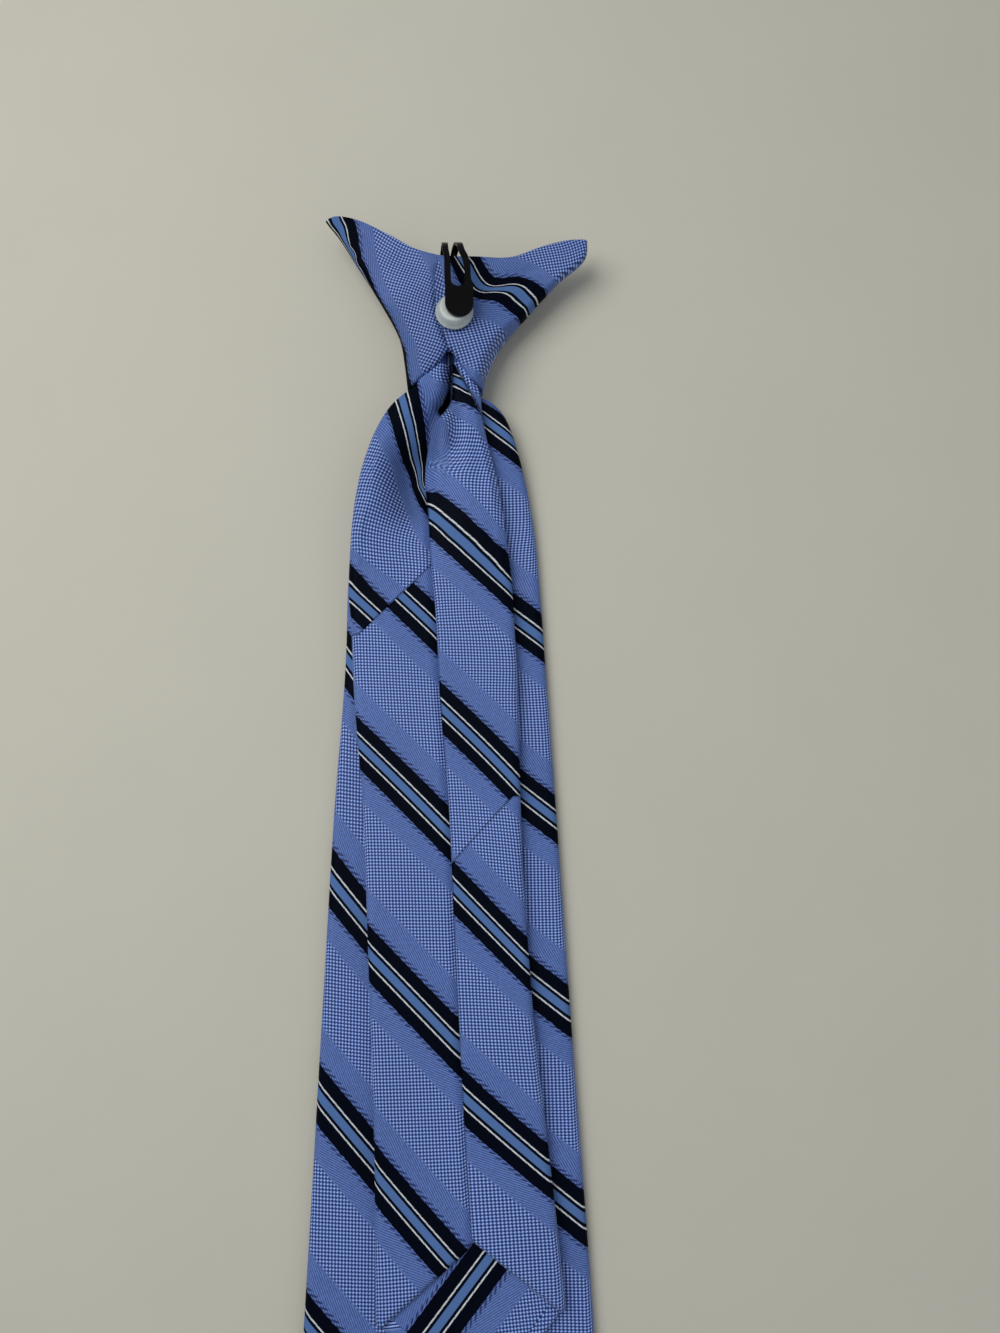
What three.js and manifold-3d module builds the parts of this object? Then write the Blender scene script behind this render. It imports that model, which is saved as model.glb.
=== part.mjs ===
// A boys' clip-on necktie, ready tied, lying face down with its back up.
// +Y runs along the tie from the point of the front blade to the knot, +Z is up.
// Every piece of cloth is a folded or wrapped wall; the knot hides a plastic former,
// whose boss shows through the back and is held down by a sprung steel clip.

import * as THREE from 'three';
import { mergeVertices } from 'three/addons/utils/BufferGeometryUtils.js';
import Module from 'manifold-3d';

const wasm = await Module();
wasm.setup();

// Driving dimensions, in millimetres
const CLOTH = 1.1;             // wall of the lined silk
const CLEAR = 0.3;             // gap kept between neighbouring pieces
const TIPPING = 1.0;           // thickness of the cloth that backs each point
const BLADE_THICK = 2 * CLOTH + 2 * CLEAR + TIPPING;
const SEAM_GAP = 0.5;          // between the two flaps of a folded blade
const AXIS_X = -1;             // the blades' centre line, so that the box is centred on the origin
const POINT_Y = -184.5;        // point of the front blade
const CORNER_HALF = 37.1;      // half the front blade's greatest width
const CORNER_Y = POINT_Y + CORNER_HALF;
const DIMPLE_WIDTH = 4;        // of the groove down the front blade's face
const TAIL_BASE = 4.1;         // height of the tail's face where it lies flat
const BLADE_END_Y = 149;       // where both blades end inside the knot
const NECK_Y = 135.4;          // where they leave it
const BOSS = { x: 3.2, y: 154.5, radius: 5, top: 17.35, stem: 3.4 };
const BOSS_SIDES = 28;
const FORMER = { bottom: 5.6, top: 8.9, low: 150.5, high: 166, lowHalf: 7.5, highHalf: 9.5 };
const CLIP = { half: 3.7, thick: 0.7, prong: 1.7, plate: 17.65, low: 151.4, slot: 160, bar: 1.8 };
const HOLE_GAP = 0.4;          // between the boss and the cloth around it
const FRONT_MARGIN = { side: 4, reach: 12 };   // how far the tipping stays inside the blade's
const TAIL_MARGIN = { side: 3.4, reach: 8 };   // edges, and how far it runs up under the flaps
const FAR = 12;                // how far cutting blocks run past what they cut

// The ends of the blades: the point, the corners beside it, and the apex where the flaps part
const FRONT_CUT = {
  tip: { x: 0, y: POINT_Y },
  left: { x: -CORNER_HALF, y: CORNER_Y },
  right: { x: CORNER_HALF, y: CORNER_Y },
  apex: { x: 0, y: -117 },
  base: 0,
};
const TAIL_CUT = {
  tip: { x: 6.9, y: -115.3 },
  left: { x: -16.8, y: -94.2 },
  right: { x: 28, y: -91.2 },
  apex: { x: 6.4, y: -75.7 },
  base: TAIL_BASE,
};

// Rows of numbers under named columns
function table(columns, rows) {
  return rows.map((row) => Object.fromEntries(columns.map((name, i) => [name, row[i]])));
}

// The front blade, a row for each station from the knot to the point. left and right are
// its folded edges, base its face's height, thick its height there, dimple the face's groove.
const FRONT_BLADE = table(['y', 'left', 'right', 'base', 'thick', 'dimple'], [
  [149, -7.2, 7.6, 3.2, 4.6, 0.4],
  [135.4, -7.5, 8, 3.2, 4.6, 0.8],
  [133, -11.6, 12.8, 3, 4.6, 1.1],
  [129, -15.4, 16.3, 2.6, 4.5, 1.2],
  [121, -18.4, 19.2, 1.9, 4.4, 1.1],
  [109, -21.5, 22, 0.9, 4.1, 0.7],
  [95, -24.4, 24, 0.2, 3.9, 0.2],
  [82, -25.9, 24.9, 0, BLADE_THICK, 0],
  [68, -26.1, 25.7, 0, BLADE_THICK, 0],
  [24, -28.8, 28.1, 0, BLADE_THICK, 0],
  [-20, -30.9, 30.4, 0, BLADE_THICK, 0],
  [-95, -34.4, 34.6, 0, BLADE_THICK, 0],
  [CORNER_Y, -CORNER_HALF, CORNER_HALF, 0, BLADE_THICK, 0],
  [POINT_Y - 3, -CORNER_HALF - 2, CORNER_HALF + 2, 0, BLADE_THICK, 0],
]);

// The tail, which lies on the front blade's back. seam is the line where its flaps meet,
// rollLeft and rollRight the height of its rolled edges, mid its height at the seam, and
// crownLeft and crownRight how far each flap swells between edge and seam.
const TAIL_BLADE = table([
  'y', 'left', 'seam', 'right', 'base', 'rollLeft', 'rollRight', 'mid', 'crownLeft', 'crownRight'
], [
  [149, -6.6, 1.9, 7.2, 8.1, 3.6, 3.6, 3.6, 0, 0],
  [136.6, -7, 1, 7.3, 8.1, 3.6, 3.5, 3.3, 0.2, 0],
  [133.6, -10.6, 0.3, 7.9, 7.9, 4.2, 3.5, 3, 0.6, 0.2],
  [129, -15, -1, 9.2, 7.4, 5.2, 3.6, 2.9, 1, 0.7],
  [121, -19.1, -3.9, 11.5, 6.6, 6.4, 3.8, 2.8, 1.1, 1.3],
  [111, -22.2, -5.1, 13.9, 5.5, 7, 3.9, 2.9, 0.6, 1.5],
  [101.5, -23.8, -4.2, 15.5, 4.8, 6.8, 3.9, 3.1, -0.2, 1.2],
  [92, -24.6, -3.8, 16.6, 4.4, 5.8, 3.8, 3.5, -0.3, 0.7],
  [82, -25, -2.9, 17.6, 4.1, 4.8, 3.8, 3.8, 0, 0.3],
  [72, -24.2, -2.2, 18, 4.1, 4.1, 3.8, 3.8, 0.1, 0.1],
  [58, -23.6, -1.5, 18.7, 4.1, 3.8, 3.8, 3.8, 0, 0],
  [24, -20.8, 0.9, 19, 4.1, 3.8, 3.8, 3.8, 0, 0],
  [-20, -18.9, 2.8, 21, 4.1, 3.8, 3.8, 3.8, 0, 0],
  [-54, -17.5, 4.5, 24.3, 4.1, 3.8, 3.8, 3.8, 0, 0],
  [-92, -16.9, 6.6, 28, 4.1, 3.8, 3.8, 3.8, 0, 0],
  [-118, -16.3, 7, 30, 4.1, 3.8, 3.8, 3.8, 0, 0],
]);

// The knot's outline: its two side folds from the neck up to the wings, its top fold from
// the left wing to the right one, and the lower edges of its back panels and of its face.
const SIDE_LEFT = [
  [-9.6, 135.2, 7.6], [-10.4, 142.4, 7.4], [-12, 151, 7.4], [-17.7, 162, 8],
  [-23.4, 171, 9], [-28, 178.4, 9.8], [-31.8, 183.4, 10],
];
const SIDE_RIGHT = [
  [10.4, 135.2, 7.6], [11.7, 140.4, 7.4], [15.7, 149, 7.4], [22, 156, 7.8],
  [31.2, 165.6, 9], [38.4, 171.8, 10], [39.1, 177, 10],
];
const TOP_FOLD = [
  [-31.8, 183.4, 10], [-29.2, 184.5, 10], [-23.4, 183.4, 10], [-15.4, 179.2, 10],
  [-8, 174.6, 10], [-1, 172.4, 10], [9, 172, 10], [18, 172, 10],
  [27, 175.2, 10], [34, 176.9, 10], [39.1, 177, 10],
];
const LOWER_BACK = [
  [-9.6, 135.2, 7.6], [-4.6, 137.9, 7.5], [-1.6, 140, 7.5], [1.9, 143.3, 7.5],
  [5.4, 138.8, 7.5], [7.6, 136.8, 7.5], [10.4, 135.2, 7.6],
];
const LOWER_FACE = [[-9.6, 135.2, 7.6], [0.4, 133.4, 7.6], [10.4, 135.2, 7.6]];

// How far the knot stands out behind and in front of its side folds, a row for each
// level between the neck and the top fold.
const KNOT_DEPTH = table(['level', 'back', 'face', 'side'], [
  [0, 6.7, 6.4, 3.6],
  [0.3, 6.4, 7.2, 3.2],
  [0.55, 4.9, 7.8, 2.5],
  [0.8, 3.1, 7, 1.9],
  [1, 2.6, 5, 1.7],
]);
const KNOT_BODY = { x: 2.5, half: 15 };   // the thick middle of the knot, between its wings

// The seam between the knot's back panels: a slit below the boss, and one above it that
// widens into a notch at the top fold. Its corners in plan, one side and then the other.
const LOWER_SEAM = [[1.65, 141], [2.15, 141], [1.85, 151], [1.35, 151]];
const UPPER_SEAM = [
  [-1.4, 157], [-0.9, 157], [-1.4, 163], [-1.2, 169.4],
  [-0.5, 174], [-3, 174], [-1.7, 169.4], [-1.9, 163],
];
const CLIP_SLOT = { left: -2.2, right: 5.4, low: 167, high: 176, bottom: 9.2, top: 11.4 };
const KNOT_MIDDLE = 9.5;       // height between the knot's face and its back

// The clip's prongs, from the plate over the bend and down inside the knot
const PRONG_LEFT = [
  [2.2, 159, 17.65], [2.1, 164, 17.5], [1.5, 169.4, 17], [0.9, 172.8, 15.8],
  [0.6, 174.1, 13.4], [0.3, 173, 10.9], [-0.1, 169.8, 9.9], [-0.6, 162, 9.5],
];
const PRONG_RIGHT = [
  [7.05, 159, 17.65], [6.9, 164, 17.5], [5.7, 169.4, 17], [4.7, 172.8, 15.8],
  [4.3, 174.1, 13.4], [4, 173, 10.9], [3.6, 169.8, 9.9], [3.1, 162, 9.5],
];

const { clamp, lerp } = THREE.MathUtils;
const smooth = (u) => u * u * (3 - 2 * u);
const spaced = (from, to, count) => Array.from({ length: count + 1 }, (_, i) => lerp(from, to, i / count));
const smoothCurve = (points) => new THREE.CatmullRomCurve3(
  points.map((p) => new THREE.Vector3(...p)), false, 'centripetal',
);

// A table's row at any value of its key column, by a curve that never swings past its rows
function rowAt(rows, key, value) {
  const rising = rows[1][key] > rows[0][key];
  const next = rows.findIndex((row) => (rising ? row[key] > value : row[key] < value));
  const i = next < 0 ? rows.length - 2 : Math.max(0, next - 1);
  const [before, from, to, after] = [-1, 0, 1, 2].map((n) => rows[clamp(i + n, 0, rows.length - 1)]);
  const span = to[key] - from[key];
  const u = clamp((value - from[key]) / span, 0, 1);
  const result = {};
  for (const name of Object.keys(from)) {
    const slope = (a, b) => (b === a ? 0 : (b[name] - a[name]) / (b[key] - a[key]));
    const tangent = (a, b) => (a * b > 0 ? 2 * a * b / (a + b) * span : 0);
    const [first, middle, last] = [slope(before, from), slope(from, to), slope(to, after)];
    result[name] = from[name] + smooth(u) * (to[name] - from[name])
      + u * (1 - u) ** 2 * tangent(first, middle) - u ** 2 * (1 - u) * tangent(middle, last);
  }
  result[key] = value;
  return result;
}

// A closed mesh from its points and triangles, turned so that its faces point out
function closedMesh(points, triangles) {
  const corners = points.map((p) => new THREE.Vector3(...p));
  const cross = new THREE.Vector3();
  let volume = 0;
  for (const [a, b, c] of triangles) volume += corners[a].dot(cross.crossVectors(corners[b], corners[c]));
  const faces = volume > 0 ? triangles : triangles.map(([a, b, c]) => [a, c, b]);
  const geometry = new THREE.BufferGeometry();
  geometry.setAttribute('position', new THREE.Float32BufferAttribute(points.flat(), 3));
  geometry.setIndex(faces.flat());
  return geometry;
}

// A solid through a row of closed loops of equal length. Each loop runs out along a wall's
// one side and back along its other, so its first half faces its second half across the wall.
function loftLoops(loops) {
  const size = loops[0].length;
  const triangles = [];
  for (let j = 0; j + 1 < loops.length; j++) {
    for (let k = 0; k < size; k++) {
      const [a, b] = [j * size + k, j * size + (k + 1) % size];
      triangles.push([a, b, b + size], [a, b + size, a + size]);
    }
  }
  for (let i = 0; i + 1 < size / 2; i++) {
    const [a, b, c, d] = [i, i + 1, size - 2 - i, size - 1 - i];
    const end = (loops.length - 1) * size;
    triangles.push([a, c, b], [a, d, c], [a + end, b + end, c + end], [a + end, c + end, d + end]);
  }
  return closedMesh(loops.flat(), triangles);
}

function toSolid(geometry) {
  const bare = geometry.clone();
  bare.deleteAttribute('normal');
  bare.deleteAttribute('uv');
  const merged = mergeVertices(bare, 1e-4);
  return new wasm.Manifold(new wasm.Mesh({
    numProp: 3,
    vertProperties: new Float32Array(merged.attributes.position.array),
    triVerts: new Uint32Array(merged.index.array),
  }));
}

function toGeometry(solid) {
  const { vertProperties, triVerts } = solid.getMesh();
  const geometry = new THREE.BufferGeometry();
  geometry.setAttribute('position', new THREE.BufferAttribute(new Float32Array(vertProperties), 3));
  geometry.setIndex(new THREE.BufferAttribute(new Uint32Array(triVerts), 1));
  return geometry;
}

// An upright block over a plan outline of [x, y] corners, from one height to another
function block(outline, low, high) {
  const shape = new THREE.Shape(outline.map(([x, y]) => new THREE.Vector2(x, y)));
  return new THREE.ExtrudeGeometry(shape, { depth: high - low, bevelEnabled: false }).translate(0, 0, low);
}

// One side of a folded blade's wall in cross-section, inset by 0 on the outside and by the
// cloth on the inside: over the left flap, round its fold, along the face and back over the right.
function wallSide(row, inset) {
  const [foldSteps, flapSteps, faceSteps] = [4, 5, 6];
  const radius = { left: row.rollLeft / 2, right: row.rollRight / 2 };
  const flat = { left: row.left + radius.left, right: row.right - radius.right };
  const flapHeight = (x) => {
    const [edge, roll, crown] = x < row.seam
      ? [row.left, row.rollLeft, row.crownLeft] : [row.right, row.rollRight, row.crownRight];
    const u = clamp((x - edge) / (row.seam - edge), 0, 1);
    return lerp(roll, row.mid, smooth(u)) + crown * Math.sin(Math.PI * u);
  };
  const flap = (from, to) => spaced(from, to, flapSteps).map((x) => [x, flapHeight(x) - inset]);
  const fold = (centre, r, start) => spaced(start, start + Math.PI, foldSteps).slice(1, -1).map(
    (turn) => [centre + (r - inset) * Math.cos(turn), r + (r - inset) * Math.sin(turn)],
  );
  const groove = (x) => row.dimple * Math.exp(-((x / DIMPLE_WIDTH) ** 2));
  const outline = [
    ...flap(row.seam - SEAM_GAP / 2, flat.left),
    ...fold(flat.left, radius.left, Math.PI / 2),
    ...spaced(flat.left, flat.right, faceSteps).map((x) => [x, groove(x) + inset]),
    ...fold(flat.right, radius.right, -Math.PI / 2),
    ...flap(flat.right, row.seam + SEAM_GAP / 2),
  ];
  return outline.map(([x, z]) => [x, row.y, row.base + z]);
}

// A folded blade, cut to its point, with its flaps cut back to show the tipping
function foldedBlade(rows, cut) {
  const loops = rows.map((row) => [...wallSide(row, 0), ...wallSide(row, CLOTH).reverse()]);
  const { tip, left, right, apex, base } = cut;
  const below = tip.y - FAR;
  const beside = (corner, side) => {
    const slope = (apex.y - corner.y) / Math.abs(apex.x - corner.x);
    return [corner.x + side * FAR, corner.y - FAR * slope];
  };
  const waste = (corner, side) => {
    const outer = corner.x + side * FAR;
    return [[corner.x, corner.y], [tip.x, tip.y], [tip.x, below], [outer, below], [outer, corner.y]];
  };
  const opening = [
    [apex.x, apex.y], beside(left, -1), [left.x - FAR, below], [right.x + FAR, below], beside(right, 1),
  ];
  const solid = toSolid(loftLoops(loops))
    .subtract(toSolid(block(waste(left, -1), base - FAR, base + FAR)))
    .subtract(toSolid(block(waste(right, 1), base - FAR, base + FAR)))
    .subtract(toSolid(block(opening, base + BLADE_THICK / 2, base + FAR)));
  return toGeometry(solid);
}

function frontBlade() {
  const stations = [
    ...spaced(BLADE_END_Y, NECK_Y, 2), ...spaced(NECK_Y - 0.8, 121, 6), ...spaced(117, 69, 8),
    ...spaced(50, POINT_Y - 3, 10),
  ];
  const rows = stations.map((y) => {
    const row = rowAt(FRONT_BLADE, 'y', y);
    const flat = { seam: 0, rollLeft: row.thick, rollRight: row.thick, mid: row.thick };
    return { ...row, ...flat, crownLeft: 0, crownRight: 0 };
  });
  return foldedBlade(rows, FRONT_CUT);
}

function tailBlade() {
  const stations = [
    ...spaced(BLADE_END_Y, NECK_Y + 1.2, 2), ...spaced(NECK_Y, 121, 6), ...spaced(118, 61, 14),
    ...spaced(46, -118, 9),
  ];
  return foldedBlade(stations.map((y) => ({ ...rowAt(TAIL_BLADE, 'y', y), dimple: 0 })), TAIL_CUT);
}

// The cloth that backs a blade's point, slipped between its face and its flaps
function tipping({ tip, left, right, apex, base }, { side, reach }) {
  const flare = 1.5;
  const outline = [
    [tip.x, tip.y + side * Math.SQRT2], [right.x - side, right.y + side / 2],
    [right.x - side - flare, apex.y + reach], [left.x + side + flare, apex.y + reach],
    [left.x + side, left.y + side / 2],
  ];
  const low = base + CLOTH + CLEAR;
  return block(outline, low, low + TIPPING);
}

// A point of the smooth patch between four edge curves that share their corners
function patchPoint({ left, right, low, high }, s, t) {
  return left.getPoint(t).multiplyScalar(1 - s)
    .addScaledVector(right.getPoint(t), s)
    .addScaledVector(low.getPoint(s), 1 - t)
    .addScaledVector(high.getPoint(s), t)
    .addScaledVector(low.getPoint(0), -(1 - s) * (1 - t))
    .addScaledVector(low.getPoint(1), -s * (1 - t))
    .addScaledVector(high.getPoint(0), -(1 - s) * t)
    .addScaledVector(high.getPoint(1), -s * t);
}

// How a wall's height falls off in a quarter circle within radius of its edge
function rounding(distance, radius) {
  const rest = clamp(1 - distance / radius, 0, 1);
  return Math.sqrt(1 - rest * rest);
}

// The level direction square to an edge curve, to its left for turn 1 and its right for -1
function sideways(edge, at, turn) {
  const tangent = edge.getTangent(at);
  return new THREE.Vector3(-tangent.y * turn, tangent.x * turn, 0).normalize();
}

// A point of the knot's back or face, on the wall's outside for inset 0 and on its inside
// for the cloth. across and along run from 0 to 1, from fold to fold and from neck to top.
function knotPoint(edges, isBack, inset, across, along) {
  const width = edges.left.getPoint(along).distanceTo(edges.right.getPoint(along));
  const length = edges.low.getPoint(across).distanceTo(edges.high.getPoint(across));
  const point = patchPoint(edges, across, along)
    .addScaledVector(sideways(edges.left, along, -1), inset * Math.max(0, 1 - 2 * across))
    .addScaledVector(sideways(edges.right, along, 1), inset * Math.max(0, 2 * across - 1))
    .addScaledVector(sideways(edges.high, across, -1), inset * along ** 4);
  const depth = rowAt(KNOT_DEPTH, 'level', along);
  const body = Math.exp(-((Math.abs(point.x - KNOT_BODY.x) / KNOT_BODY.half) ** 3));
  const full = lerp(depth.side, isBack ? depth.back : depth.face, body) - inset;
  const edge = Math.min(Math.max(depth.side - inset, CLEAR), width / 3);
  const fromSide = Math.min(across, 1 - across) * (width - 2 * inset);
  const fromTop = (1 - along) * (length - inset);
  const height = full * rounding(fromSide, edge) * rounding(fromTop, edge);
  return [point.x, point.y, point.z + (isBack ? height : -height)];
}

// The knot's cloth: a back and a face that meet in the side folds and the top fold, and
// part at the neck to let the blades out
function knotWrap() {
  const [acrossSteps, alongSteps] = [26, 15];
  const sides = { left: smoothCurve(SIDE_LEFT), right: smoothCurve(SIDE_RIGHT) };
  const folds = { ...sides, high: smoothCurve(TOP_FOLD) };
  const lower = { back: smoothCurve(LOWER_BACK), face: smoothCurve(LOWER_FACE) };
  const points = [];
  const triangles = [];
  const quad = (a, b, c, d, turned) => {
    if (turned) triangles.push([a, c, b], [a, d, c]);
    else triangles.push([a, b, c], [a, c, d]);
  };
  const rims = {};
  for (const inset of [0, CLOTH]) {
    for (const [sheet, low] of Object.entries(lower)) {
      const start = points.length;
      for (const j of spaced(0, alongSteps, alongSteps)) {
        const along = Math.sin(Math.PI / 2 * j / alongSteps);
        for (const k of spaced(0, acrossSteps, acrossSteps)) {
          const across = 0.5 - 0.5 * Math.cos(Math.PI * k / acrossSteps);
          points.push(knotPoint({ ...folds, low }, sheet === 'back', inset, across, along));
        }
      }
      const turned = (sheet === 'back') !== (inset === 0);
      for (let j = 0; j < alongSteps; j++) {
        for (let k = 0; k < acrossSteps; k++) {
          const a = start + j * (acrossSteps + 1) + k;
          quad(a, a + 1, a + acrossSteps + 2, a + acrossSteps + 1, turned);
        }
      }
      rims[`${sheet}${inset ? 'Inner' : 'Outer'}`] = start;
    }
  }
  for (let k = 0; k < acrossSteps; k++) {
    const { backOuter, backInner, faceOuter, faceInner } = rims;
    quad(backOuter + k, backInner + k, backInner + k + 1, backOuter + k + 1, false);
    quad(faceOuter + k, faceInner + k, faceInner + k + 1, faceOuter + k + 1, true);
  }
  return closedMesh(points, triangles);
}

// The knot's cloth with its hole for the boss, the seam between its back panels, and
// the slot in its top fold that the clip's inner leg goes down
function knotCloth() {
  const radius = BOSS.radius + HOLE_GAP;
  const hole = new THREE.CylinderGeometry(radius, radius, BOSS.top - KNOT_MIDDLE, BOSS_SIDES);
  hole.rotateX(Math.PI / 2).translate(BOSS.x, BOSS.y, (BOSS.top + KNOT_MIDDLE) / 2);
  const { left, right, low, high, bottom, top } = CLIP_SLOT;
  const slot = block([[left, low], [right, low], [right, high], [left, high]], bottom, top);
  const solid = toSolid(knotWrap())
    .subtract(toSolid(hole))
    .subtract(toSolid(block(LOWER_SEAM, KNOT_MIDDLE, BOSS.top)))
    .subtract(toSolid(block(UPPER_SEAM, KNOT_MIDDLE + 0.5, BOSS.top)))
    .subtract(toSolid(slot));
  return toGeometry(solid);
}

// The former's plate and, turned about its own axis, its boss with a stem below it
function knotFormer() {
  const plate = [
    [BOSS.x - FORMER.lowHalf, FORMER.low], [BOSS.x + FORMER.lowHalf, FORMER.low],
    [BOSS.x + FORMER.highHalf, FORMER.high], [BOSS.x - FORMER.highHalf, FORMER.high],
  ];
  const { radius, stem, top } = BOSS;
  const profile = [
    [0, FORMER.bottom + 1], [stem, FORMER.bottom + 1], [stem, top - 3.4], [radius, top - 3.1],
    [radius, top - 2.4], [radius - 0.7, top - 0.4], [radius - 1.2, top], [0, top],
  ];
  const boss = new THREE.LatheGeometry(profile.map(([r, z]) => new THREE.Vector2(r, z)), BOSS_SIDES);
  boss.rotateX(Math.PI / 2).translate(BOSS.x, BOSS.y, 0);
  return toGeometry(toSolid(block(plate, FORMER.bottom, FORMER.top)).add(toSolid(boss)));
}

// A prong: a strip of steel along a curve under its middle, its width kept level
function prong(points) {
  const path = smoothCurve(points);
  const steps = 18;
  const level = new THREE.Vector3(1, 0, 0);
  const loops = spaced(0, 1, steps).map((at) => {
    const up = level.clone().cross(path.getTangent(at)).normalize();
    const centre = path.getPoint(at).add(new THREE.Vector3(0, 0, CLIP.thick / 2));
    const corner = (a, b) => centre.clone()
      .addScaledVector(level, a * CLIP.prong / 2).addScaledVector(up, b * CLIP.thick / 2).toArray();
    return [corner(-1, -1), corner(1, -1), corner(1, 1), corner(-1, 1)];
  });
  return loftLoops(loops);
}

// The clip: a plate with a round end, two prongs over the bend, and a bar that joins them
function springClip() {
  const middle = (PRONG_LEFT[0][0] + PRONG_RIGHT[0][0]) / 2;
  const roundSteps = 12;
  const end = spaced(Math.PI, 2 * Math.PI, roundSteps).map((turn) => (
    [middle + CLIP.half * Math.cos(turn), CLIP.low + CLIP.half * (1 + Math.sin(turn))]
  ));
  const plate = [[middle + CLIP.half, CLIP.slot], [middle - CLIP.half, CLIP.slot], ...end];
  const [left, right] = [PRONG_LEFT.at(-1), PRONG_RIGHT.at(-1)];
  const [from, to, low] = [left[0] - CLIP.prong / 2, right[0] + CLIP.prong / 2, left[1] - 1];
  const bar = [[from, low], [to, low], [to, low + CLIP.bar], [from, low + CLIP.bar]];
  const solid = toSolid(block(plate, CLIP.plate, CLIP.plate + CLIP.thick))
    .add(toSolid(prong(PRONG_LEFT)))
    .add(toSolid(prong(PRONG_RIGHT)))
    .add(toSolid(block(bar, left[2], left[2] + CLIP.thick)));
  return toGeometry(solid);
}

const SILK = { color: 0x5f78c4, roughness: 0.55, metalness: 0 };
const MILKY_PLASTIC = { color: 0xdfe3dc, roughness: 0.35, metalness: 0 };
const BLACK_STEEL = { color: 0x0b0b0d, roughness: 0.25, metalness: 0.4 };

const PARTS = [
  ['front_blade', frontBlade(), SILK],
  ['front_tipping', tipping(FRONT_CUT, FRONT_MARGIN), SILK],
  ['tail_blade', tailBlade(), SILK],
  ['tail_tipping', tipping(TAIL_CUT, TAIL_MARGIN), SILK],
  ['knot_wrap', knotCloth(), SILK],
  ['knot_former', knotFormer(), MILKY_PLASTIC],
  ['spring_clip', springClip(), BLACK_STEEL],
];

const necktie = new THREE.Group();
necktie.position.x = AXIS_X;
for (const [name, geometry, look] of PARTS) {
  const part = new THREE.Mesh(geometry, new THREE.MeshStandardMaterial(look));
  part.name = name;
  necktie.add(part);
}

export default necktie;
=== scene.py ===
"""The looks of a boys' clip-on necktie, ready tied, lying face down with its back up.

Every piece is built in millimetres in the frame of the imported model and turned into
metres as its mesh is made. +Y runs along the tie to the knot, +Z is up. Points in plan
are (x, y), with x counted from the blades' centre line.
"""

import logging
import math
from collections.abc import Callable
from dataclasses import dataclass, field
from enum import Enum
from functools import partialmethod

import bmesh
import bpy
import numpy as np
from bpy.types import Material, Node, NodeSocket, NodeTree, Object
from mathutils import Matrix, Vector

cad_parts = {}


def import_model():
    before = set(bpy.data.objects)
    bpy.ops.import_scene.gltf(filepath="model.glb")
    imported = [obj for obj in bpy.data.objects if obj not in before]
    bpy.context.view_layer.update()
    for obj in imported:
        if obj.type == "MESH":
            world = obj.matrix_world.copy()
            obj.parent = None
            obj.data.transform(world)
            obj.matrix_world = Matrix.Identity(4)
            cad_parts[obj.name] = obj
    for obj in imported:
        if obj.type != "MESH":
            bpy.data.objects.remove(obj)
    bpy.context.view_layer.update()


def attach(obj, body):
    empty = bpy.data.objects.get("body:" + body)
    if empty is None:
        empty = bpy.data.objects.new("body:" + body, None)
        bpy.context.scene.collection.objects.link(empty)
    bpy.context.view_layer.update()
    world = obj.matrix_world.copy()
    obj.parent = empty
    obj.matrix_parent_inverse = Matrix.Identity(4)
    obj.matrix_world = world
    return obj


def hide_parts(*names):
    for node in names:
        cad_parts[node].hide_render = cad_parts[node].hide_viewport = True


log = logging.getLogger("necktie")

MM = 0.001
AXIS_X = -1.0            # where the blades' centre line lies across the frame
CLOTH = 1.0              # thickness of the lined silk
TIPPING_TOP = 2.4        # height of a tipping's outside over its blade's face
TUCK = 1.6               # how far a left flap or panel runs on under the right one
TUCK_DROP = 1.15         # and how far it dips to do so,
TUCK_START = 1.8         # from this far before the seam
TUCK_RUN = 2.4           # and over this width
EDGE_ROUND = 0.9         # radius of a folded free edge
FLAP_LOW = 1.6           # how low a flap's outside sinks towards its face
HEM_WIDTH = 5.0          # of the face's edge turned back over the tipping
HEM_RADIUS = 1.1
REPEAT = 36.9            # of the stripes, square to them

DIAGONAL = math.sqrt(0.5)  # cosine of the angle between the threads and the stripes
FAR_ABOVE_SEAM = -99.0     # for cloth without a piecing seam

Array = np.ndarray
Colour = tuple[float, ...]
Number = float | np.ndarray
Pair = tuple[float, float]


class Slot(Enum):
    """The record's material slots."""

    SILK = "striped_silk"
    PLASTIC = "white_plastic"
    STEEL = "black_steel"


# Numbers and curves


def smooth(u: Array) -> Array:
    """An even ramp from 0 to 1 that starts and ends level."""
    u = np.clip(u, 0, 1)
    return u * u * (3 - 2 * u)


def mix(a: Number, b: Number, u: Number) -> Number:
    """The value a share u of the way from a to b."""
    return a + (b - a) * u


def srgb(red: float, green: float, blue: float) -> tuple[float, float, float, float]:
    """A screen colour as linear light.

    Args:
        red: The red part, from 0 to 255.
        green: The green part.
        blue: The blue part.

    Returns:
        The colour with its alpha, from 0 to 1.
    """
    values = (c / 255 for c in (red, green, blue))
    linear = (c / 12.92 if c <= 0.04045 else ((c + 0.055) / 1.055) ** 2.4 for c in values)
    return (*linear, 1.0)


def rounded(distance: Array, radius: Number) -> Array:
    """A quarter circle's rise from 0 at an edge to 1 at the radius and beyond."""
    rest = np.clip(1 - distance / radius, 0, 1)
    return np.sqrt(1 - rest * rest)


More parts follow.
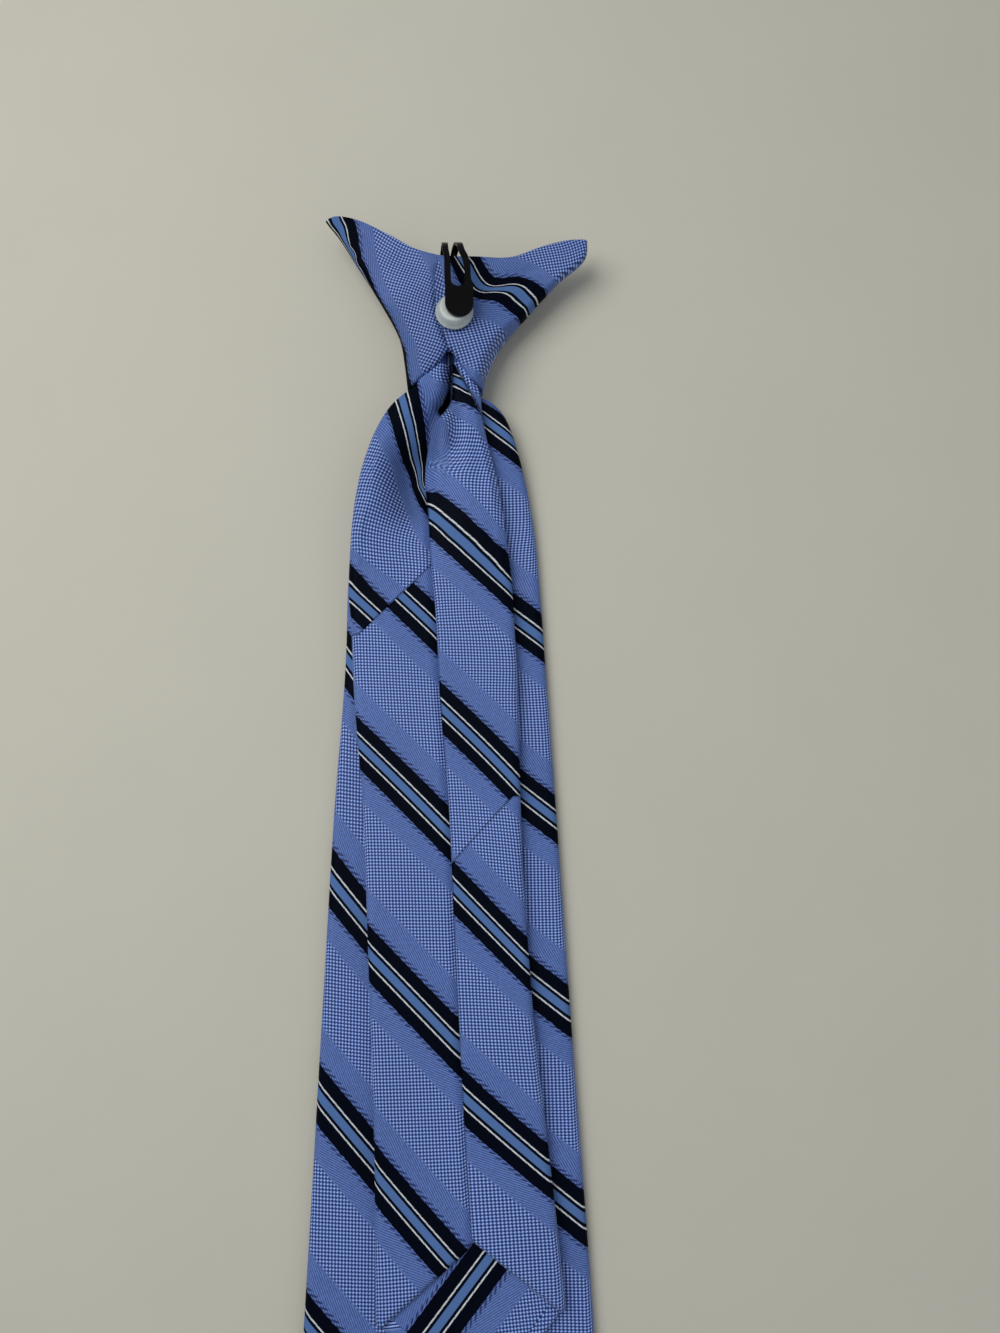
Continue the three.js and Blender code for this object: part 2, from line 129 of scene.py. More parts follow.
@dataclass(frozen=True)
class Stations:
    """Rows of numbers at stations along y, joined by curves that never swing past them."""

    columns: tuple[str, ...]
    rows: tuple[tuple[float, ...], ...]

    def at(self, y: Array) -> dict[str, Array]:
        """Reads every column at the given stations.

        Args:
            y: Stations, in any order and shape.

        Returns:
            Each column's values, in the shape of y.
        """
        table = np.array(sorted(self.rows))
        keys, values = table[:, 0], table[:, 1:]
        steps = np.diff(keys)[:, None]
        slopes = np.diff(values, axis=0) / steps
        product = slopes[:-1] * slopes[1:]
        total = np.where(product > 0, slopes[:-1] + slopes[1:], 1)
        tangents = np.zeros_like(values)
        tangents[1:-1] = np.where(product > 0, 2 * product / total, 0)
        flat = np.ravel(y)
        i = np.clip(np.searchsorted(keys, flat, side="right") - 1, 0, len(keys) - 2)
        u = np.clip((flat - keys[i]) / steps[i, 0], 0, 1)[:, None]
        read = values[i] + smooth(u) * (values[i + 1] - values[i]) + steps[i] * (
            u * (1 - u) ** 2 * tangents[i] - u**2 * (1 - u) * tangents[i + 1]
        )
        return {name: read[:, n].reshape(np.shape(y)) for n, name in enumerate(self.columns[1:])}


class SmoothCurve:
    """A centripetal curve through points, read by a parameter from 0 to 1."""

    def __init__(self, points: list[tuple[float, ...]]) -> None:
        """Keeps the points and one more beyond each end."""
        knots = np.array(points, float)
        self.knots = np.vstack([2 * knots[0] - knots[1], knots, 2 * knots[-1] - knots[-2]])

    def at(self, t: Array) -> Array:
        """Points of the curve.

        Args:
            t: Parameters from 0 to 1, in any shape.

        Returns:
            The points, with their coordinates along the last axis.
        """
        flat = np.clip(np.ravel(t), 0, 1)
        count = len(self.knots) - 3
        i = np.minimum((flat * count).astype(int), count - 1)
        w = (flat * count - i)[:, None]
        p0, p1, p2, p3 = (self.knots[i + n] for n in range(4))
        d0, d1, d2 = (
            np.sqrt(np.linalg.norm(b - a, axis=1))[:, None] for a, b in ((p0, p1), (p1, p2), (p2, p3))
        )
        m1 = ((p1 - p0) / d0 - (p2 - p0) / (d0 + d1) + (p2 - p1) / d1) * d1
        m2 = ((p2 - p1) / d1 - (p3 - p1) / (d1 + d2) + (p3 - p2) / d2) * d1
        read = p1 + m1 * w + (3 * (p2 - p1) - 2 * m1 - m2) * w**2 + (2 * (p1 - p2) + m1 + m2) * w**3
        return read.reshape(*np.shape(t), -1)


@dataclass(frozen=True)
class Crease:
    """A ridge, or for a negative height a valley, along a line in plan. The same shape also lays painted
    shade, its height then being the darkening.
    """

    line: tuple[Pair, ...]
    width: float
    height: float
    fade: float = 0.25

    def lift(self, x: Array, y: Array) -> Array:
        """How far the crease raises the cloth at points in plan.

        Args:
            x: The points' places across the tie.
            y: Their places along it.

        Returns:
            The heights, falling off to both sides and at both ends of the line.
        """
        line = np.array(self.line, float)
        spans = np.linalg.norm(np.diff(line, axis=0), axis=1)
        starts = np.concatenate([[0], np.cumsum(spans)])
        nearest = np.full(np.shape(x), 1e9)
        along = np.zeros(np.shape(x))
        for n, (a, b) in enumerate(zip(line[:-1], line[1:])):
            u = np.clip(((x - a[0]) * (b - a)[0] + (y - a[1]) * (b - a)[1]) / spans[n] ** 2, 0, 1)
            away = np.hypot(x - a[0] - u * (b - a)[0], y - a[1] - u * (b - a)[1])
            closer = away < nearest
            nearest = np.where(closer, away, nearest)
            along = np.where(closer, (starts[n] + u * spans[n]) / starts[-1], along)
        ends = smooth(along / self.fade) * smooth((1 - along) / self.fade) if self.fade > 0 else 1.0
        return self.height * np.exp(-((nearest / self.width) ** 2)) * ends


def lifted(creases: tuple[Crease, ...], x: Array, y: Array) -> Array:
    """The sum of all the creases' heights."""
    return sum((crease.lift(x, y) for crease in creases), np.zeros(np.shape(x)))


def reach_beyond(keys: Array, values: Array, at: Array) -> Array:
    """Reads straight lines between points, run on past the first and the last one.

    Args:
        keys: The points' keys, rising.
        values: Their values.
        at: The keys to read.

    Returns:
        The values read.
    """
    i = np.clip(np.searchsorted(keys, at) - 1, 0, len(keys) - 2)
    return values[i] + (at - keys[i]) * (values[i + 1] - values[i]) / (keys[i + 1] - keys[i])


# Meshes


@dataclass
class Patch:
    """A grid of points with its maps, as one part of a mesh."""

    points: Array
    maps: dict[str, Array]
    keep: Array | None = None


def woven(points: Array, across: Array, along: Array,
          even: Array | None = None, piecing: Array | None = None,
          keep: Array | None = None, shade: Array | None = None) -> Patch:
    """A patch of striped cloth.

    Args:
        points: The grid's points.
        across: Their distances across the stripes.
        along: Their distances along the stripes.
        even: Distances across for the weave, where the stripes are drawn apart.
        piecing: Distance past the piecing seam, and how far the stripes shift there.
        keep: Which quads stay.
        shade: Painted shade, how far deep folds keep the light off, up to 1, laid into the colour.

    Returns:
        The patch, with the maps that the silk reads.
    """
    none = np.zeros_like(across)
    if piecing is None:
        piecing = np.stack([np.full_like(across, FAR_ABOVE_SEAM), none], axis=-1)
    return Patch(points, {
        "cloth": np.stack([(across - along) * DIAGONAL, (across + along) * DIAGONAL], axis=-1),
        "piecing": piecing,
        "weave": np.stack([across if even is None else even, along], axis=-1),
        "shade": np.stack([none if shade is None else shade, none], axis=-1),
    }, keep)


class SheetMesh:
    """Joins patches into one mesh, welded where their points meet."""

    def __init__(self, name: str, patches: list[Patch]) -> None:
        """Makes the object out of the patches.

        Args:
            name: The object's name.
            patches: Its parts, which all have the same maps.
        """
        quads = self._quads(patches)
        place = np.concatenate([patch.points.reshape(-1, 3) for patch in patches]) + (AXIS_X, 0, 0)
        used, corners = np.unique(quads, return_inverse=True)
        mesh = bpy.data.meshes.new(name)
        mesh.vertices.add(len(used))
        mesh.vertices.foreach_set("co", (place[used] * MM).ravel())
        mesh.loops.add(quads.size)
        mesh.loops.foreach_set("vertex_index", corners.ravel().astype(np.int32))
        mesh.polygons.add(len(quads))
        mesh.polygons.foreach_set("loop_start", np.arange(0, quads.size, 4, dtype=np.int32))
        for layer in patches[0].maps:
            uv = mesh.uv_layers.new(name=layer)
            values = np.concatenate([patch.maps[layer].reshape(-1, 2) for patch in patches])
            uv.data.foreach_set("uv", values[quads.ravel()].ravel())
        mesh.update(calc_edges=True)
        mesh.validate()
        self.object = bpy.data.objects.new(name, mesh)
        bpy.context.scene.collection.objects.link(self.object)

    @staticmethod
    def _quads(patches: list[Patch]) -> Array:
        """Numbers the corners of every quad that stays.

        Args:
            patches: The mesh's parts.

        Returns:
            Four corner numbers for each quad, counted over all the patches.
        """
        faces, start = [], 0
        for patch in patches:
            rows, columns = patch.points.shape[:2]
            index = start + np.arange(rows * columns).reshape(rows, columns)
            corners = (index[:-1, :-1], index[:-1, 1:], index[1:, 1:], index[1:, :-1])
            quads = np.stack(corners, axis=-1)
            faces.append(quads.reshape(-1, 4) if patch.keep is None else quads[patch.keep])
            start += rows * columns
        return np.concatenate(faces)

    def weld(self, distance: float) -> "SheetMesh":
        """Joins points that lie close together.

        Args:
            distance: How close, in millimetres.

        Returns:
            The sheet itself.
        """
        mesh = self.object.data
        build = bmesh.new()
        build.from_mesh(mesh)
        bmesh.ops.remove_doubles(build, verts=build.verts, dist=distance * MM)
        build.to_mesh(mesh)
        build.free()
        return self

    def thicken(self, thickness: float, offset: float = -1.0) -> "SheetMesh":
        """Gives the sheet its thickness.

        Args:
            thickness: The wall, in millimetres.
            offset: -1 to grow inward from the outside, 0 to grow to both sides.

        Returns:
            The sheet itself.
        """
        wall = self.object.modifiers.new("wall", "SOLIDIFY")
        wall.thickness = thickness * MM
        wall.offset = offset
        wall.use_even_offset = False
        return self

    def finish(self, material: Material) -> Object:
        """Shades the sheet smooth and gives it its material.

        Args:
            material: The material.

        Returns:
            The sheet's object.
        """
        mesh = self.object.data
        mesh.materials.append(material)
        mesh.polygons.foreach_set("use_smooth", np.ones(len(mesh.polygons), bool))
        mesh.update()
        return self.object


# Finishes


Input = NodeSocket | float


class Nodes:
    """Builds a node tree out of short calls."""

    def __init__(self, tree: NodeTree) -> None:
        """Keeps the tree to build."""
        self.tree = tree

    def node(self, kind: str, settings: dict[str, str] | None = None, **inputs: object) -> Node:
        """Adds a node.

        Args:
            kind: Its type.
            settings: Its choices, by name.
            inputs: Values or outputs, by the inputs' names.

        Returns:
            The node.
        """
        node = self.tree.nodes.new(kind)
        for name, value in (settings or {}).items():
            setattr(node, name, value)
        for name, value in inputs.items():
            self.plug(value, node.inputs[name.replace("_", " ")])
        return node

    def plug(self, value: object, socket: NodeSocket) -> None:
        """Fills an input.

        Args:
            value: An output to link, or a plain value.
            socket: The input.
        """
        if isinstance(value, NodeSocket):
            self.tree.links.new(value, socket)
        else:
            socket.default_value = value

    def math(self, operation: str, a: Input, b: Input = 0.0, c: Input = 0.0) -> Input:
        """Adds one step of arithmetic.

        Args:
            operation: Its name.
            a: The first number.
            b: The second one.
            c: The third one.

        Returns:
            The result.
        """
        node = self.tree.nodes.new("ShaderNodeMath")
        node.operation = operation
        for value, socket in zip((a, b, c), node.inputs):
            self.plug(value, socket)
        return node.outputs[0]

    add = partialmethod(math, "ADD")
    sub = partialmethod(math, "SUBTRACT")
    mul = partialmethod(math, "MULTIPLY")
    mul_add = partialmethod(math, "MULTIPLY_ADD")


class Wiring(Nodes):
    """Builds a material's node tree out of short calls."""

    def __init__(self, name: str) -> None:
        """Starts a material with a Principled surface.

        Args:
            name: The material's name.
        """
        self.material = bpy.data.materials.new(name)
        self.material.use_nodes = True
        super().__init__(self.material.node_tree)
        self.surface = self.tree.nodes["Principled BSDF"]

    def finish(self, **inputs: object) -> Material:
        """Fills the surface's inputs.

        Args:
            inputs: Values or outputs, by the inputs' names.

        Returns:
            The material.
        """
        for name, value in inputs.items():
            self.plug(value, self.surface.inputs[name.replace("_", " ")])
        return self.material

    def ramp(self, value: Input, low: float, high: float) -> Input:
        """Adds a smooth step.

        Args:
            value: What it reads.
            low: Where it is still 0.
            high: Where it reaches 1, which may be less than low.

        Returns:
            The step, from 0 to 1.
        """
        node = self.tree.nodes.new("ShaderNodeMapRange")
        node.interpolation_type = "SMOOTHSTEP"
        for given, name in ((value, "Value"), (low, "From Min"), (high, "From Max")):
            self.plug(given, node.inputs[name])
        return node.outputs[0]

    def peak(self, value: Input, low: float, high: float) -> Input:
        """A smooth step over how far the value's fraction lies from a half."""
        fraction = self.sub(self.math("FRACT", value), 0.5)
        return self.ramp(self.math("ABSOLUTE", fraction), low, high)

    def blend(self, share: Input, a: object, b: object) -> Input:
        """Mixes two colours.

        Args:
            share: How far to go from the first to the second one.
            a: The first colour.
            b: The second colour.

        Returns:
            The colour between them.
        """
        node = self.tree.nodes.new("ShaderNodeMix")
        node.data_type = "RGBA"
        for value, socket in ((share, 0), (a, 6), (b, 7)):
            self.plug(value, node.inputs[socket])
        return node.outputs[2]

    def tint(self, colour: object, gain: Input) -> Input:
        """Makes a colour brighter or darker.

        Args:
            colour: The colour.
            gain: The factor.

        Returns:
            The changed colour.
        """
        node = self.tree.nodes.new("ShaderNodeVectorMath")
        node.operation = "SCALE"
        self.plug(colour[:3] if isinstance(colour, tuple) else colour, node.inputs[0])
        self.plug(gain, node.inputs["Scale"])
        return node.outputs[0]

    def noise(self, scale: float, detail: float) -> Input:
        """Adds clouds of noise in the piece's own place.

        Args:
            scale: How many there are to a metre.
            detail: How many finer layers they have.

        Returns:
            The noise, about 0.5 on average.
        """
        place = self.node("ShaderNodeTexCoord").outputs["Object"]
        return self.node("ShaderNodeTexNoise", Vector=place, Scale=scale, Detail=detail).outputs[0]

    def coordinates(self, layer: str) -> tuple[Input, Input]:
        """Reads one of the piece's own maps.

        Args:
            layer: The map's name.

        Returns:
            Its two coordinates.
        """
        node = self.tree.nodes.new("ShaderNodeUVMap")
        node.uv_map = layer
        split = self.node("ShaderNodeSeparateXYZ", Vector=node.outputs[0])
        return split.outputs[0], split.outputs[1]

    def bump(self, height: Input, distance: float, strength: float = 1.0) -> None:
        """Turns a height of 0 to 1 into the surface's relief, its distance in millimetres."""
        node = self.node("ShaderNodeBump", Height=height, Distance=distance * MM, Strength=strength)
        self.plug(node.outputs[0], self.surface.inputs["Normal"])


@dataclass(frozen=True)
class WovenSilk:
    """Silk woven with a basket ground between plain twill, and grouped stripes on it.

    A group of stripes has pale blue in its middle, a white cord to either side of that
    and a navy bar outside each cord. Sizes are in millimetres. A pair of distances from
    the group's middle says where an edge starts and where it is complete.
    """

    name: str = "woven_silk"
    ground: Colour = srgb(78, 107, 178)
    thread: Colour = srgb(150, 180, 244)
    gap: Colour = srgb(26, 43, 104)
    twill: Colour = srgb(92, 120, 184)
    twill_low: Colour = srgb(46, 68, 130)
    pale: Colour = srgb(79, 110, 163)
    white: Colour = srgb(200, 206, 212)
    navy: Colour = srgb(4, 8, 20)
    tick: Colour = srgb(24, 38, 92)
    sheen_tint: Colour = (0.75, 0.82, 1.0, 1.0)
    pale_edge: Pair = (1.02, 0.92)
    cord_middle: float = 1.85
    cord_edge: Pair = (0.19, 0.1)
    navy_edge: Pair = (5.06, 4.94)
    basket_right: Pair = (10.7, 12.0)
    basket_left: Pair = (-10.0, -11.3)
    cell: float = 0.565
    float_long: float = 0.62
    float_wide: float = 0.44
    rib: float = 0.52
    rib_lean: float = 22.0
    weft: float = 1.43
    tick_start: float = 5.5
    tick_reach: Pair = (0.42, 0.7)
    tick_width: float = 0.27
    tick_spacing: float = 1.85
    twist: float = 2.4
    pale_rib: float = 0.5
    seam_width: float = 0.4
    roughness: float = 0.55
    relief: float = 0.15

    def make(self) -> Material:
        """Builds the material.

        Returns:
            A material that reads the maps cloth, piecing, weave and shade of a sheet.
        """
        w = Wiring(self.name)
        p, q = w.coordinates("cloth")
        away, shift = w.coordinates("piecing")
        below = w.math("GREATER_THAN", away, 0.0)
        whole = w.mul(w.add(p, q), DIAGONAL)
        across = w.mul_add(below, shift, whole)
        along = w.mul(w.sub(q, p), DIAGONAL)
        turned = w.math("FRACT", w.mul_add(across, 1 / REPEAT, 0.5))
        signed = w.mul(w.sub(turned, 0.5), REPEAT)
        dist = w.math("ABSOLUTE", signed)
        seam = w.ramp(w.math("ABSOLUTE", away), self.seam_width, 0.0)
        # painted shade: the shade map darkens the colour and dims the gloss and sheen
        lit = w.sub(1.0, w.coordinates("shade")[0])

        cloth, height = self._ground(w, signed)
        ticks = w.mul(self._ticks(w, signed, dist, along), 0.9)
        cloth = w.blend(ticks, cloth, self.tick)
        cloth, height, is_navy = self._stripes(w, dist, along, cloth, height)
        # painted shadow: the colour is darkened along the piecing seam, where the upper piece stands over
        # the lower one
        cloth = w.tint(cloth, w.mul_add(seam, -0.35, 1.0))
        cloth = w.tint(cloth, w.mul_add(w.noise(45.0, 2.0), 0.16, 0.92))
        w.bump(w.mul_add(seam, -2.0, height), self.relief)
        gloss = w.mul_add(is_navy, -0.28, 0.3)
        sheen = w.mul_add(is_navy, -0.12, 0.12)
        return w.finish(
            Base_Color=w.tint(cloth, lit),
            Roughness=w.mul_add(is_navy, -0.05, self.roughness),
            Specular_IOR_Level=w.mul(lit, gloss),
            Sheen_Weight=w.mul(lit, sheen),
            Sheen_Roughness=0.45,
            Sheen_Tint=self.sheen_tint,
        )

    def _ground(self, w: Wiring, signed: Input) -> tuple[Input, Input]:
        """The basket and twill between the stripes.

        Args:
            w: The material's wiring.
            signed: Distance across from the stripes' middle.

        Returns:
            The colour and the relief.
        """
        even = w.coordinates("weave")
        dots, gaps = self._basket(w, *even)
        basket = w.blend(dots, w.blend(gaps, self.ground, self.gap), self.thread)
        ribs = self._ribs(w, signed, *even)
        twill = w.blend(ribs, self.twill_low, self.twill)
        twill = w.tint(twill, w.mul_add(w.noise(1500.0, 1.0), 0.6, 0.7))
        is_basket = w.math(
            "MAXIMUM", w.ramp(signed, *self.basket_right), w.ramp(signed, *self.basket_left)
        )
        weave = w.mul_add(gaps, -0.6, w.mul(dots, 0.55))
        plain = w.mul_add(ribs, 0.35, 0.1)
        more = w.mul(is_basket, w.sub(weave, plain))
        return w.blend(is_basket, twill, basket), w.add(plain, more)

    def _stripes(self, w: Wiring, dist: Input, along: Input, cloth: Input,
                 height: Input) -> tuple[Input, Input, Input]:
        """The navy bars, the twisted white cords and the ribbed pale middle.

        Args:
            w: The material's wiring.
            dist: Distance from the stripes' middle.
            along: Distance along them.
            cloth: The ground's colour.
            height: The ground's relief.

        Returns:
            The colour and the relief with the stripes, and where the cloth is navy.
        """
        frayed = w.mul_add(w.noise(900.0, 1.0), 0.5, w.sub(dist, 0.25))
        is_navy = w.ramp(frayed, *self.navy_edge)
        cloth = w.blend(is_navy, cloth, self.navy)
        height = w.mul(height, w.ramp(dist, 4.7, 5.4))

        slant = w.mul(dist, 0.9)
        bead = w.peak(w.mul_add(along, 1 / self.twist, slant), 0.5, 0.36)
        rope = w.tint(self.white, w.mul_add(bead, 0.35, 0.65))
        off = w.math("ABSOLUTE", w.sub(dist, self.cord_middle))
        slimmed = w.sub(off, w.mul(bead, 0.06))
        is_white = w.ramp(slimmed, *self.cord_edge)
        cloth = w.blend(is_white, cloth, rope)
        height = w.mul_add(is_white, 0.9, height)

        cross = w.peak(w.mul(along, 1 / self.pale_rib), 0.5, 0.2)
        pale = w.tint(self.pale, w.mul_add(cross, 0.3, 0.8))
        is_pale = w.ramp(dist, *self.pale_edge)
        cloth = w.blend(is_pale, cloth, pale)
        height = w.mul_add(w.mul(is_pale, cross), 0.25, height)
        return cloth, height, is_navy

    def _basket(self, w: Wiring, across: Input, along: Input) -> tuple[Input, Input]:
        """The basket weave, whose cells turn from thread to ground like a chessboard.

        Args:
            w: The material's wiring.
            across: Distance across for the weave.
            along: Distance along for it.

        Returns:
            The light thread floats and the dark gaps between them, each from 0 to 1.
        """
        u, v = (w.mul(way, 1 / self.cell) for way in (across, along))
        cells = w.add(w.math("FLOOR", u), w.math("FLOOR", v))
        odd = w.math("PINGPONG", cells, 1.0)
        du, dv = (w.sub(w.math("FRACT", way), 0.5) for way in (u, v))
        lengthwise = w.math("POWER", w.mul(du, 1 / self.float_long), 2.0)
        sideways = w.math("POWER", w.mul(dv, 1 / self.float_wide), 2.0)
        dot = w.mul(w.ramp(w.add(lengthwise, sideways), 1.1, 0.35), odd)
        hole = w.add(w.math("POWER", du, 2.0), w.math("POWER", dv, 2.0))
        gap = w.mul(w.ramp(hole, 0.42, 0.12), w.sub(1.0, odd))
        return dot, gap

    def _ribs(self, w: Wiring, signed: Input, across: Input, along: Input) -> Input:
        """The twill's fine ribs, which lean the other way on the other side of a stripe.

        Args:
            w: The material's wiring.
            signed: Distance across from the stripes' middle.
            across: Distance across for the weave.
            along: Distance along for it.

        Returns:
            The ribs, 1 along their crests.
        """
        lean = math.radians(self.rib_lean)
        side = w.mul_add(w.math("GREATER_THAN", signed, 0.0), 2.0, -1.0)
        sideways = w.mul(w.mul(across, side), math.cos(lean) / self.rib)
        return w.peak(w.mul_add(along, -math.sin(lean) / self.rib, sideways), 0.5, 0.12)

    def _ticks(self, w: Wiring, signed: Input, dist: Input, along: Input) -> Input:
        """Short dark floats that run out of a stripe's edges along the weft.

        Args:
            w: The material's wiring.
            signed: Distance across from the stripes' middle.
            dist: The same without its sign.
            along: Distance along the stripes.

        Returns:
            The floats, from 0 to 1.
        """
        slanted = w.mul_add(signed, self.weft, along)
        row = w.mul(slanted, 1 / self.tick_spacing)
        off = w.math("ABSOLUTE", w.sub(w.math("FRACT", row), 0.5))
        thin = w.math("POWER", w.mul(off, 1 / self.tick_width), 2.0)
        low, high = self.tick_reach
        reach = w.mul_add(w.math("GREATER_THAN", signed, 0.0), high - low, low)
        out = w.math("DIVIDE", w.sub(dist, self.tick_start), reach)
        return w.ramp(w.mul_add(out, out, thin), 1.15, 0.75)


@dataclass(frozen=True)
class MilkyPlastic:
    """Unpigmented moulded plastic, slightly see-through, with faint flow marks."""

    name: str = "milky_plastic"
    colour: Colour = srgb(172, 181, 180)

    def make(self) -> Material:
        """Builds the material.

        Returns:
            The material.
        """
        w = Wiring(self.name)
        cloud = w.noise(260.0, 3.0)
        w.bump(cloud, 0.03, 0.5)
        return w.finish(
            Base_Color=w.tint(self.colour, w.mul_add(cloud, 0.5, 0.75)),
            Roughness=w.mul_add(cloud, 0.12, 0.26),
            Subsurface_Weight=0.35,
            Subsurface_Radius=(1.0, 1.0, 0.9),
            Subsurface_Scale=0.0015,
        )


@dataclass(frozen=True)
class GlossBlackSteel:
    """Spring steel under gloss black paint, a little uneven and rubbed."""

    name: str = "gloss_black_steel"
    colour: Colour = (0.0005, 0.0005, 0.0005, 1.0)

    def make(self) -> Material:
        """Builds the material.

        Returns:
            The material.
        """
        w = Wiring(self.name)
        rubbed = w.noise(180.0, 4.0)
        w.bump(w.noise(900.0, 2.0), 0.01, 0.25)
        return w.finish(
            Base_Color=w.tint(self.colour, w.mul_add(rubbed, 0.8, 0.6)),
            Roughness=w.mul_add(rubbed, 0.1, 0.02),
            Specular_IOR_Level=0.2,
        )


@dataclass(frozen=True)
class BlueThread:
    """Sewing thread, twisted, in the blue of the silk."""

    name: str = "blue_thread"
    colour: Colour = srgb(58, 80, 142)

    def make(self) -> Material:
        """Builds the material.

        Returns:
            The material.
        """
        w = Wiring(self.name)
        place = w.node("ShaderNodeTexCoord").outputs["Object"]
        twist = w.node("ShaderNodeTexWave", Vector=place, Scale=2600.0).outputs[1]
        strand = w.tint(self.colour, w.mul_add(twist, 0.4, 0.75))
        return w.finish(Base_Color=strand, Roughness=0.6)


@dataclass(frozen=True)
class PaleFloor:
    """A plain pale floor with hardly any change of tone."""

    name: str = "pale_floor"
    colour: Colour = srgb(190, 188, 176)

    def make(self) -> Material:
        """Builds the material.

        Returns:
            The material.
        """
        w = Wiring(self.name)
        tone = w.mul_add(w.noise(30.0, 3.0), 0.05, 0.975)
        return w.finish(
            Base_Color=w.tint(self.colour, tone), Roughness=0.85, Specular_IOR_Level=0.2
        )


# Blades


Row = dict[str, Array]


@dataclass(frozen=True)
class StripeField:
    """Distances from a stripe's middle over cloth, spread smoothly between measured points.

    Each line is a distance and the places in plan that have it. low and high are the
    corners of the grid on which the even distances are worked out. Cloth to the right
    of the line fold comes out of a fold, which hides some of the pattern.
    """

    lines: tuple[tuple[float | Pair, ...], ...]
    low: Pair
    high: Pair
    cell: float = 2.0
    slack: float = 0.6
    fold: tuple[Pair, ...] = ()
    hidden: float = 12.0
    blur: float = 0.3

    def across(self, x: Array, y: Array) -> Array:
        """Reads the distance across the stripes.

        Args:
            x: Places across the tie.
            y: Places along it.

        Returns:
            The distances, in the shape of x.
        """
        known = np.array([(*place, line[0]) for line in self.lines for place in line[1:]])
        place = known[:, :2]
        gaps = np.linalg.norm(place[:, None] - place[None], axis=2)
        kernel = self._spline(gaps) + self.slack * np.eye(len(known))
        edge = np.column_stack([np.ones(len(known)), place])
        system = np.block([[kernel, edge], [edge.T, np.zeros((3, 3))]])
        weights = np.linalg.solve(system, np.concatenate([known[:, 2], np.zeros(3)]))
        flat = np.stack([np.ravel(x), np.ravel(y)], axis=1)
        away = np.linalg.norm(flat[:, None] - place[None], axis=2)
        read = self._spline(away) @ weights[:-3] + weights[-3] + flat @ weights[-2:]
        return read.reshape(np.shape(x))

    def past_fold(self, x: Array, y: Array) -> Array:
        """How much of the pattern the fold hides.

        Args:
            x: Places across the tie.
            y: Places along it.

        Returns:
            The hidden width for places to the right of the fold's line, 0 for others.
        """
        if not self.fold:
            return np.zeros(np.shape(x))
        (x0, y0), (x1, y1) = self.fold
        away = ((x - x0) * (y0 - y1) + (y - y0) * (x1 - x0)) / math.hypot(x1 - x0, y1 - y0)
        return self.hidden * smooth(away / self.blur + 0.5)

    def even(self, x: Array, y: Array, turned: bool,
             settled: Array | None = None, below: float = 0.0) -> Array:
        """Reads a distance that grows as evenly as it can square to the stripes.

        Args:
            x: Places across the tie.
            y: Places along it.
            turned: Whether it grows along the stripes instead.
            settled: Places and distances of cloth where they are already settled.
            below: The height below which they count.

        Returns:
            The distances, in the shape of x.
        """
        across, up = (np.arange(a, b + self.cell, self.cell) for a, b in zip(self.low, self.high))
        gx, gy = np.meshgrid(across, up)
        slope_y, slope_x = np.gradient(self.across(gx, gy), self.cell)
        steep = np.hypot(slope_x, slope_y)
        want_x, want_y = slope_x / steep, slope_y / steep
        if turned:
            want_x, want_y = -want_y, want_x
        rows, columns = gx.shape
        index = np.arange(gx.size).reshape(gx.shape)
        system = np.eye(gx.size) * 1e-6  # keeps the level from floating
        right = np.zeros(gx.size)
        pairs = (
            (index[:, :-1], index[:, 1:], (want_x[:, :-1] + want_x[:, 1:]) / 2),
            (index[:-1], index[1:], (want_y[:-1] + want_y[1:]) / 2),
        )
        for first, second, want in pairs:
            a, b, step = first.ravel(), second.ravel(), want.ravel() * self.cell
            np.add.at(system, (a, a), 1)
            np.add.at(system, (b, b), 1)
            np.add.at(system, (a, b), -1)
            np.add.at(system, (b, a), -1)
            np.add.at(right, a, -step)
            np.add.at(right, b, step)
        if settled is not None:
            places, distances = settled[:, :2], settled[:, 2]
            (low, _), (high, _) = places.min(axis=0), places.max(axis=0)
            for i, j in zip(*np.nonzero((gx > low) & (gx < high) & (gy < below))):
                away = ((places - (gx[i, j], gy[i, j])) ** 2).sum(axis=1)
                system[index[i, j], index[i, j]] += 2.0
                right[index[i, j]] += 2.0 * distances[np.argmin(away)]
        solved = np.linalg.solve(system, right).reshape(rows, columns)
        u = np.clip((x - across[0]) / self.cell, 0, columns - 1.001)
        v = np.clip((y - up[0]) / self.cell, 0, rows - 1.001)
        i, j = v.astype(int), u.astype(int)
        u, v = u - j, v - i
        below = mix(solved[i, j], solved[i, j + 1], u)
        above = mix(solved[i + 1, j], solved[i + 1, j + 1], u)
        return mix(below, above, v)

    @staticmethod
    def _spline(distance: Array) -> Array:
        """The thin plate's kernel."""
        return np.where(distance > 0, distance**2 * np.log(np.maximum(distance, 1e-9)), 0.0)


@dataclass(frozen=True)
class Ends:
    """How a blade ends: its point, the corners beside it, and where its flaps part."""

    tip: Pair
    left: Pair
    right: Pair
    apex: Pair


